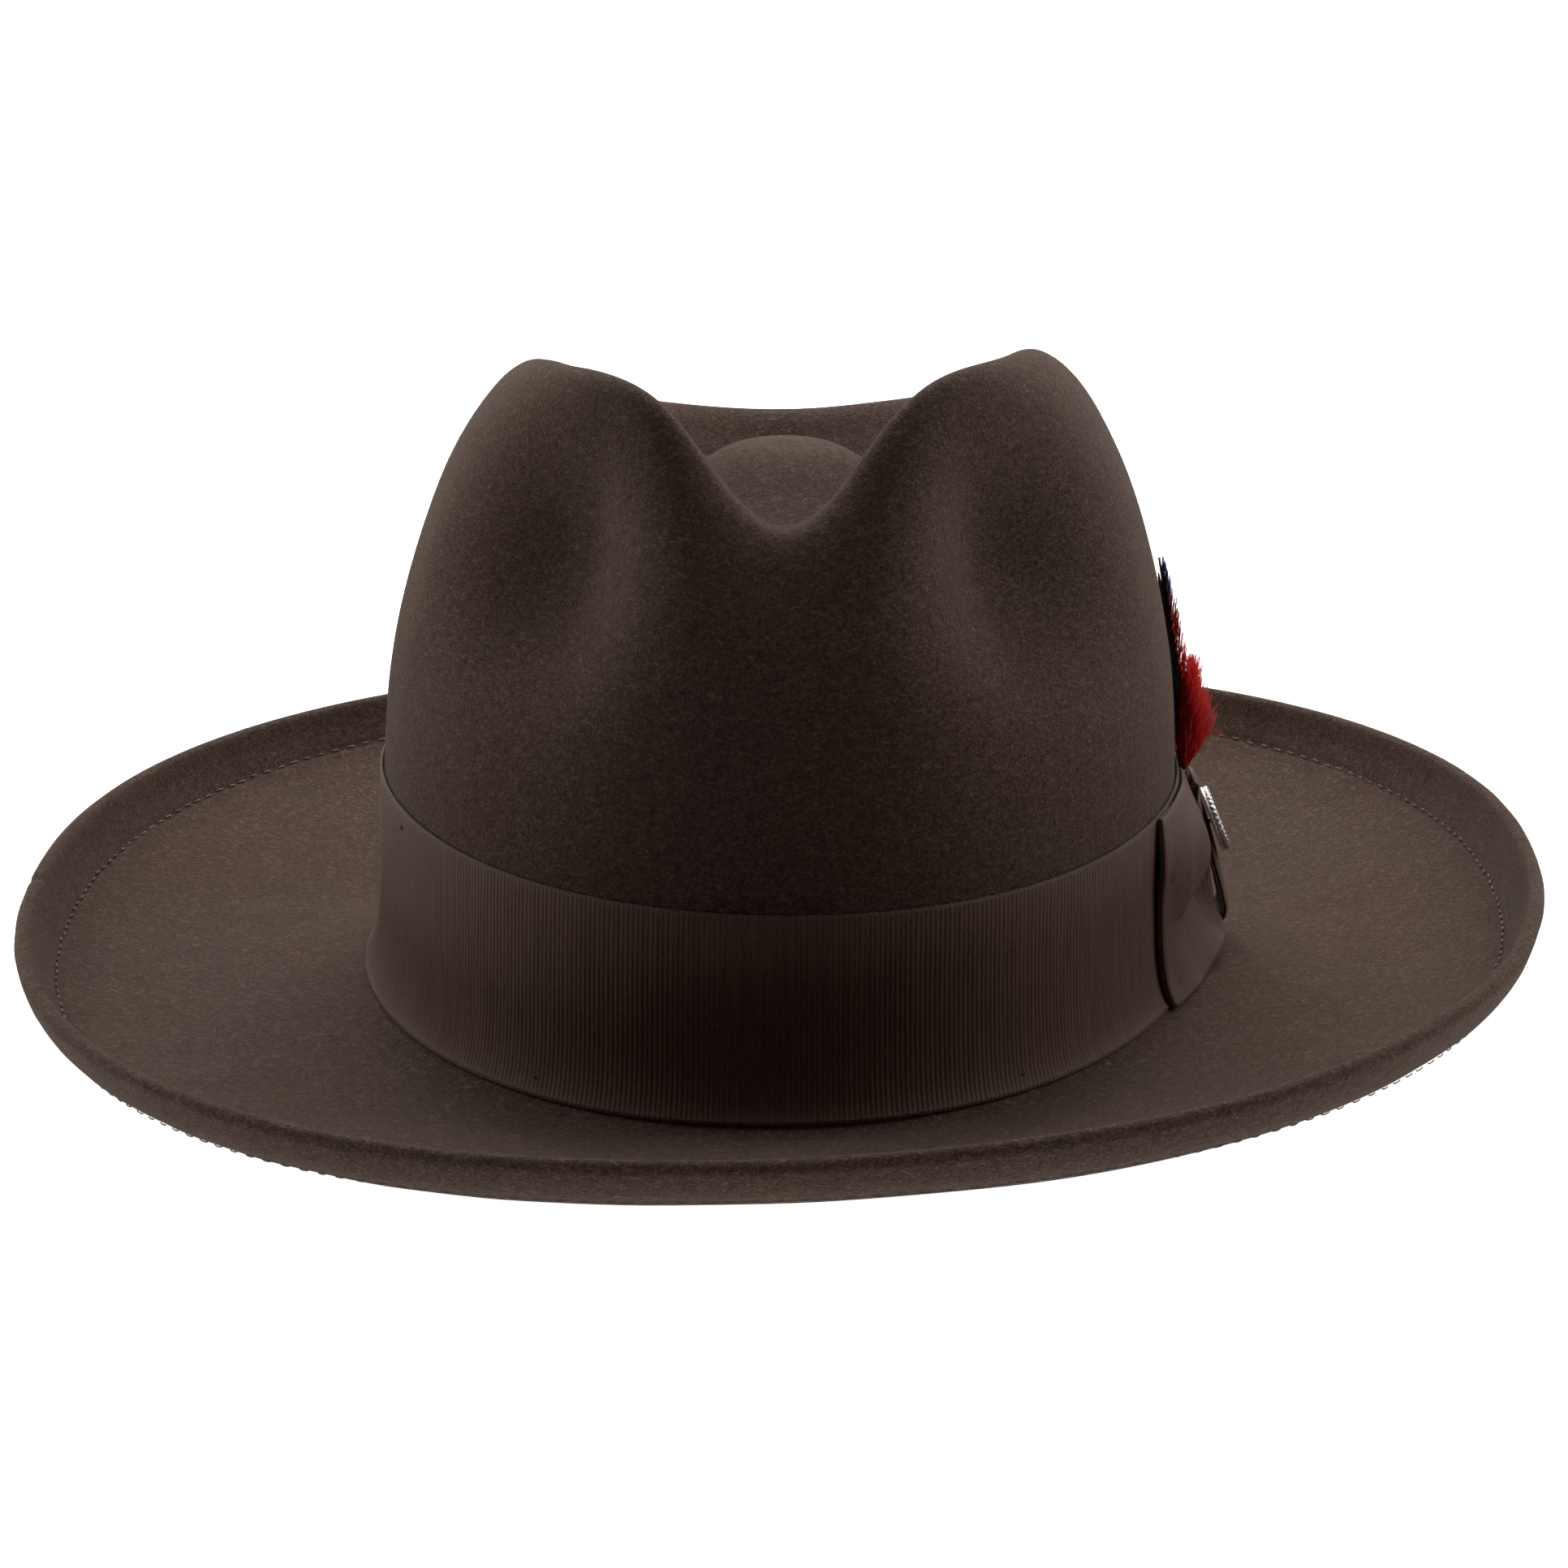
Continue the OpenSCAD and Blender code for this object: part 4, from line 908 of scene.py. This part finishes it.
# ------------------------------------------------------------------ pin
METAL = Mat("pin_silver", rough=0.4, metal=1.0, spec=0.5)
n1, n2 = METAL.noise(260, 3), METAL.noise(1500, 2)
METAL.colour(METAL.mix(METAL.ramp(n1, [(0.4, 0.0), (0.7, 0.6)]), (0.92, 0.91, 0.89), (0.66, 0.64, 0.61)))
METAL.rough(n2, 0.28, 0.50)
METAL.bump(n2, 0.00004, 0.5)
METAL = METAL.m
DARKM = Mat("pin_patina", rough=0.5, metal=1.0)
n1 = DARKM.noise(700, 3)
DARKM.colour(DARKM.ramp(n1, [(0.35, (0.030, 0.028, 0.028)), (0.7, (0.12, 0.115, 0.11))]))
DARKM.rough(n1, 0.35, 0.7)
DARKM.bump(n1, 0.00005, 0.6)
DARKM = DARKM.m
TL = math.radians(21)
AX = np.array([math.cos(TL), 0, math.sin(TL)])
EX = np.array([math.sin(TL), 0, -math.cos(TL)])
EY = np.array([0, 1.0, 0])
PIN = np.array([94.8, KY, 40.0])


def to_pin(P):
    return PIN + P[..., 0:1] * EX + P[..., 1:2] * EY + P[..., 2:3] * AX


B = Build()
na = 240
an = np.arange(na) * 2 * math.pi / na
# plate: back, stepped edge and face with a dark field
prof = [(0, 0.2, 0), (5.5, 0.2, 0), (7.1, 0.2, 0), (7.42, 0.3, 0), (7.5, 0.5, 0), (7.5, 0.78, 0), (7.4, 0.92, 0), (7.05, 0.98, 1), (6.95, 1.12, 1), (7.05, 1.26, 1), (6.3, 1.3, 1), (0.0, 1.3, 1)]
pr = np.array(prof)
R_ = np.maximum(pr[:, 0], 0.01)[:, None]
G = np.stack([R_ * np.cos(an)[None], R_ * np.sin(an)[None], pr[:, 1][:, None] + 0 * an[None]], -1)
Q, UV = grid(G, False, True)
Q0 = Q.reshape(len(pr) - 1, na, 4)
B.quads(to_pin(G).reshape(-1, 3), Q0[:7].reshape(-1, 4), None, 0)
B.Q.append(Q0[7:].reshape(-1, 4)), B.UQ.append(np.zeros((4 * na, 4, 2))), B.MQ.append(np.full(4 * na, 1))
# rope rim
rr = np.arange(360) * 2 * math.pi / 360
q = np.arange(10) * 2 * math.pi / 10
rad = 0.52 * (1 + 0.22 * np.cos(3 * q[None] + 34 * rr[:, None]))
G = np.stack([(6.85 + rad * np.cos(q)[None]) * np.cos(rr)[:, None], (6.85 + rad * np.cos(q)[None]) * np.sin(rr)[:, None], 1.55 + rad * np.sin(q)[None]], -1)
B.grid(to_pin(G), True, True)
# inner ring and an eight-petal rosette
G = np.stack([(5.6 + 0.28 * np.cos(q)[None]) * np.cos(rr)[:, None], (5.6 + 0.28 * np.cos(q)[None]) * np.sin(rr)[:, None], 1.42 + 0.34 * np.sin(q)[None] + 0 * rr[:, None]], -1)
B.grid(to_pin(G), True, True)
rad = np.linspace(0.02, 1, 18)[:, None]
for k_ in range(8):
    a0 = k_ * math.pi / 4
    v = np.linspace(0, 1, 13)[:, None]
    hw = 0.95 * np.sin(np.pi * v ** 0.8) ** 0.8 + 0.02
    w_ = np.linspace(-1, 1, 9)[None]
    x = 1.0 + 4.0 * v + 0 * w_
    y = hw * w_
    z = 1.28 + 0.75 * np.sqrt(np.maximum(0, 1 - w_ ** 2)) * np.sin(np.pi * v) ** 0.5 * (1 - 0.35 * np.exp(-(w_ / 0.18) ** 2))
    ca, sa = math.cos(a0), math.sin(a0)
    Gt = np.stack([x * ca - y * sa, x * sa + y * ca, z], -1)
    Gb = np.stack([x * ca - y * sa, x * sa + y * ca, 1.2 + 0 * z], -1)
    ring = np.concatenate([Gt, Gb[:, ::-1][:, 1:-1]], 1)
    B.grid(to_pin(ring), False, True)
    n_, c_ = ring.shape[:2]
G = np.stack([np.cos(an)[None] * np.array([0.01, 0.5, 0.95, 1.2, 1.25])[:, None], np.sin(an)[None] * np.array([0.01, 0.5, 0.95, 1.2, 1.25])[:, None], np.array([2.15, 2.08, 1.85, 1.5, 1.2])[:, None] + 0 * an[None]], -1)
B.grid(to_pin(G), False, True)
pin = B.make("pin_medallion", [METAL, DARKM], body="pin", volume=False, sharp=40)
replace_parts(pin, "pin_badge"), pin

# ------------------------------------------------------------------ inside of the hat
LEA = Mat("sweatband_leather", rough=0.45, spec=0.4)
grain = LEA.nt.nodes.new("ShaderNodeTexVoronoi")
grain.inputs["Scale"].default_value = 900
LEA.link(LEA.obj, grain.inputs["Vector"])
LEA.colour(LEA.mix(LEA.noise(60, 3), (0.10, 0.045, 0.022), (0.20, 0.10, 0.05)))
LEA.bump(grain.outputs["Distance"], 0.00025, 0.5)
LEA.rough(LEA.noise(200, 2), 0.35, 0.6)
LEA = LEA.m
SATIN = Mat("lining_satin", rough=0.32, sheen=0.3, spec=0.5)
sw = SATIN.noise(3000, 2, vec=SATIN.scaled(SATIN.obj, (1, 1, 0.15)))
SATIN.colour(SATIN.mix(sw, (0.30, 0.20, 0.09), (0.52, 0.39, 0.20)))
SATIN.bump(sw, 0.0001, 0.4)
SATIN.rough(SATIN.noise(120, 2), 0.25, 0.45)
SATIN = SATIN.m
TAPE = thread_material("reed_tape", (0.16, 0.095, 0.055), (0.30, 0.19, 0.11), 1.0)
SWT = thread_material("sweatband_thread", (0.45, 0.37, 0.25), (0.75, 0.64, 0.45), 3.0)
TAG = Mat("size_tag_paper", rough=0.8)
TAG.colour(TAG.ramp(TAG.noise(500, 4), [(0.3, (0.60, 0.56, 0.48)), (0.7, (0.80, 0.77, 0.69))]))
TAG.bump(TAG.noise(1500, 2), 0.0001, 0.4)
TAG = TAG.m

ni = 240
fi_ = np.arange(ni) * 360 / ni


def hoop(B, us_, h0, h1, extra=None, m=0):
    us_ = np.asarray(us_)
    o = surf(us_[:, None], fi_[None])
    n = nrm(us_[:, None], fi_[None])
    e = 0 if extra is None else extra(us_[:, None], fi_[None])
    a, b = o + (h1 + e)[..., None] * n if extra is not None else o + h1 * n, o + (h0 + e)[..., None] * n if extra is not None else o + h0 * n
    B.grid(np.concatenate([a, b[::-1]]), True, True, m=m)


B = Build()
hoop(B, np.concatenate([[14.75], np.linspace(14.8, 18.0, 22), [18.05]]), S1, S0 - 0.05, lambda u, f_: 0.06 * np.sin(np.radians(f_) * 9) * np.sin((u - 14.7) * 0.95) - 0.06)
ob = B.make("sweatband_leather", [LEA])
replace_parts(ob, "sweatband"), ob
B = Build()
fr = np.arange(480) * 0.75
cc = off(np.full(480, 18.45), fr, np.full(480, S0 - 0.6))
NN, DD = nrm(np.full(480, 18.45), fr), along(np.full(480, 18.45), fr)
q = np.arange(10) * 2 * math.pi / 10
rd = 0.84 + 0.05 * np.abs(np.sin(np.radians(fr) * 120))
B.grid(cc[:, None] + rd[:, None, None] * (np.cos(q)[None, :, None] * NN[:, None] + np.sin(q)[None, :, None] * DD[:, None]), True, True)
ob = B.make("sweatband_reed_tape", [TAPE])
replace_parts(ob, "sweatband_reed"), ob
B = Build()
t_ = np.linspace(-1, 1, 6)
for i in range(144):
    add_tube(B, off(np.full(6, 17.7), i * 2.5 + 1.25 + 0.62 * t_, S1 - 0.10 - 0.30 * np.sqrt(np.maximum(0, 1 - (0.9 * t_) ** 2))), 0.16, 5)
ob = B.make("sweatband_stitch_thread", [SWT])
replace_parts(ob, "sweatband_stitching"), ob
# small bow at the back of the sweatband
BOWM = thread_material("sweatband_bow_satin", (0.02, 0.014, 0.012), (0.06, 0.045, 0.038), 1.5, rough=0.4)
B = Build()
yb = surf(17, 180)[1] - 5.6
for sd in (-1, 1):
    v = np.linspace(0, 2 * math.pi, 33)
    path = np.stack([sd * (0.6 + 3.4 * (1 - np.cos(v))), yb - 0.35 * np.sin(v), 24.9 + 0.5 * np.sin(v) + 0 * v], -1)
    wd = 1.1 + 1.0 * (1 - np.cos(v)) / 2
    up_ = path + np.array([0, 0, 1.0]) * wd[:, None]
    dn_ = path - np.array([0, 0, 1.0]) * wd[:, None]
    th = np.array([0, 0.14, 0])
    B.grid(np.stack([up_ + th, dn_ + th, dn_ - th, up_ - th], 1)[:-1], True, True)
v = np.linspace(0, 2 * math.pi, 25)[:-1]
kx = np.stack([0.95 * np.cos(v), yb + 0.8 * np.sin(v) - 0.0, 24.9 + 0 * v], -1)
B.grid(np.stack([kx * 1.0 + [0, 0, 1.0], kx * 1.0 + [0, 0, -1.0], (kx - [0, yb, 24.9]) * [0.55, 0.55, 1] + [0, yb, 24.9] - [0, 0, 1.0], (kx - [0, yb, 24.9]) * [0.55, 0.55, 1] + [0, yb, 24.9] + [0, 0, 1.0]], 1), True, True)
ob = B.make("sweatband_ribbon_bow", [BOWM])
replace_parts(ob, "sweatband_bow"), ob
# lining: pleated side panel and tip
B = Build()
hoop(B, np.concatenate([[9.6], np.linspace(9.7, 14.5, 26), [14.55]]), -FELT - 1.75, -FELT - 1.45,
     lambda u, f_: 0.16 * np.sin(np.radians(f_) * 60 + 1.5 * np.sin(np.radians(f_) * 5)) * np.clip((14.5 - u) / 2, 0, 1))
ob = B.make("lining_side_panel", [SATIN])
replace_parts(ob, "lining_side"), ob
B = Build()
ul = spaced(0.6, 8.0, 3.0)
fl = np.arange(144) * 2.5


def low(u, f_, d):
    p = surf(u, f_)
    k_ = 1 - 0.05 * np.clip((u - 5.5) / 2.5, 0, 1)
    return np.stack([p[..., 0] * k_, p[..., 1] * k_, p[..., 2] - d - 1.5 * np.clip((u - 6) / 2, 0, 1)], -1)


wr = 0.25 * np.sin(np.radians(fl)[None] * 24) * (ul[:, None] / 8) ** 2
G1, G2 = low(ul[:, None], fl[None], 8.7 + wr), low(ul[:, None], fl[None], 9.2 + wr)
B.grid(np.concatenate([G1, G2[::-1]]), False, True)
n_ = 2 * len(ul)
c0, c1 = G1[0].mean(0), G2[0].mean(0)
j = np.arange(144)
k = (j + 1) % 144
B.V.append(np.array([c0, c1]))
B.T.append(np.concatenate([np.stack([np.full(144, n_ * 144), j, k], -1), np.stack([np.full(144, n_ * 144 + 1), (n_ - 1) * 144 + k, (n_ - 1) * 144 + j], -1)]))
B.MT.append(np.zeros(288)), B.UT.append(np.zeros((288, 3, 2)))
B.n += 2
ob = B.make("lining_tip_panel", [SATIN])
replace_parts(ob, "lining_tip"), ob
B = Build()
ut, ft = np.linspace(16.1, 16.7, 9)[:, None], np.linspace(195.2, 207.3, 25)[None]
curl = 0.10 * np.sin((ft - 195) * 0.5)
B.grid(np.concatenate([off(ut, ft, S1 - 0.25 + 0 * ut - curl), off(ut, ft, S1 - 0.5 + 0 * ut - curl)[::-1]]), True, False)
G = B.V[0].reshape(18, 25, 3)
kk = np.arange(8)
for col, fl_ in ((0, 1), (24, 0)):
    q4 = np.stack([kk * 25 + col, (kk + 1) * 25 + col, (16 - kk) * 25 + col, (17 - kk) * 25 + col], -1)
    B.Q.append(q4[:, ::-1] if fl_ else q4), B.UQ.append(np.zeros((8, 4, 2))), B.MQ.append(np.zeros(8))
ob = B.make("size_tag_card", [TAG], smooth=False)
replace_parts(ob, "size_tag"), ob

# the pin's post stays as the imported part
STEEL = Mat("pin_post_steel", rough=0.3, metal=1.0)
sn = STEEL.noise(1200, 2, vec=STEEL.scaled(STEEL.obj, (1, 6, 1)))
STEEL.colour(STEEL.mix(sn, (0.40, 0.40, 0.40), (0.62, 0.61, 0.60)))
STEEL.rough(sn, 0.2, 0.45)
STEEL = STEEL.m
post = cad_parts["pin_post"]
post.data.materials.clear()
post.data.materials.append(STEEL)

# ------------------------------------------------------------------ stage, light, camera
me = bpy.data.meshes.new("floor")
h = 12.0
me.from_pydata([(-h, -h, -0.0002), (h, -h, -0.0002), (h, h, -0.0002), (-h, h, -0.0002)], [], [(0, 1, 2, 3)])
floor = bpy.data.objects.new("floor", me)
bpy.context.scene.collection.objects.link(floor)
fm = bpy.data.materials.new("pale_floor")
fm.use_nodes = True
nt = fm.node_tree
bs = nt.nodes["Principled BSDF"]
bs.inputs["Base Color"].default_value = (0.9, 0.9, 0.9, 1)
lp = nt.nodes.new("ShaderNodeLightPath")
dk = nt.nodes.new("ShaderNodeBsdfDiffuse")
dk.inputs["Color"].default_value = (0.12, 0.12, 0.12, 1)
mx = nt.nodes.new("ShaderNodeMixShader")
nt.links.new(lp.outputs["Is Camera Ray"], mx.inputs[0])
nt.links.new(dk.outputs[0], mx.inputs[1])
nt.links.new(bs.outputs[0], mx.inputs[2])
nt.links.new(mx.outputs[0], nt.nodes["Material Output"].inputs["Surface"])
bs.inputs["Roughness"].default_value = 1.0
bs.inputs["Specular IOR Level"].default_value = 0.0
bs.inputs["Emission Color"].default_value = (1, 1, 1, 1)
bs.inputs["Emission Strength"].default_value = 1.0
me.materials.append(fm)

world = bpy.data.worlds.new("studio")
bpy.context.scene.world = world
world.use_nodes = True
nt = world.node_tree
nt.nodes.clear()
bg1 = nt.nodes.new("ShaderNodeBackground")
bg1.inputs["Strength"].default_value = 0.015
bg2 = nt.nodes.new("ShaderNodeBackground")
bg2.inputs["Strength"].default_value = 1.0
bg2.inputs["Color"].default_value = (1, 1, 1, 1)
lp = nt.nodes.new("ShaderNodeLightPath")
mx = nt.nodes.new("ShaderNodeMixShader")
nt.links.new(lp.outputs["Is Camera Ray"], mx.inputs[0])
nt.links.new(bg1.outputs[0], mx.inputs[1])
nt.links.new(bg2.outputs[0], mx.inputs[2])
wo = nt.nodes.new("ShaderNodeOutputWorld")
nt.links.new(mx.outputs[0], wo.inputs[0])


def area(name, loc, target, sx, sy, watts, colour=(1, 1, 1)):
    L = bpy.data.lights.new(name, "AREA")
    L.shape, L.size, L.size_y, L.energy, L.color = "RECTANGLE", sx, sy, watts, colour
    o = bpy.data.objects.new(name, L)
    bpy.context.scene.collection.objects.link(o)
    o.location = loc
    from mathutils import Vector
    o.rotation_mode = "QUATERNION"
    o.rotation_quaternion = (Vector(target) - Vector(loc)).to_track_quat("-Z", "Y")
    o.visible_camera = False
    return o


LIGHTS = [
    ("top_back", (0, 0.95, 1.1), (0, 0, 0.07), 1.2, 0.8, 14.5),
    ("top", (0, 0.35, 1.45), (0, 0, 0.07), 1, 0.8, 3),
    ("back", (0, 1.4, 0.35), (0, 0, 0.07), 2.2, 0.7, 4.5),
    ("left", (-1.35, -0.05, 0.35), (0, 0, 0.07), 0.7, 0.9, 1.3),
    ("right", (1.35, -0.05, 0.35), (0, 0, 0.07), 0.7, 0.9, 1.4),
    ("left_back", (-1.2, 0.6, 0.4), (0, 0, 0.07), 0.7, 0.9, 1.6),
    ("left_high", (-1.0, 0.22, 0.95), (0, 0, 0.07), 0.6, 0.6, 4.2),
    ("right_high", (1.0, 0.22, 0.95), (0, 0, 0.07), 0.6, 0.6, 5.6),
    ("right_front", (1.15, -0.65, 0.35), (0, 0, 0.07), 0.7, 0.9, 0.4),
    ("under", (0, 0.1, -0.0001), (0, 0.1, 1), 0.8, 0.8, 1.3),
    ("under_left", (-0.8, 0.25, -0.0001), (-0.8, 0.25, 1), 0.8, 1, 6.5),
    ("under_right", (0.8, 0.25, -0.0001), (0.8, 0.25, 1), 0.8, 1, 6),
]
for row in LIGHTS:
    area(*row)

cam = bpy.data.cameras.new("cam")
co = bpy.data.objects.new("cam", cam)
bpy.context.scene.collection.objects.link(co)
el, D = math.radians(13), 1.2
co.location = (0, -D * math.cos(el), 0.0639 + D * math.sin(el))
co.rotation_euler = (math.radians(90) - el, 0, 0)
cam.sensor_width = 36
cam.lens = 126.34
cam.shift_x, cam.shift_y = 0.0033, -0.04156
cam.clip_start, cam.clip_end = 0.05, 60
bpy.context.scene.camera = co
bpy.context.scene.view_settings.view_transform = "Standard"
bpy.context.scene.view_settings.look = "None"
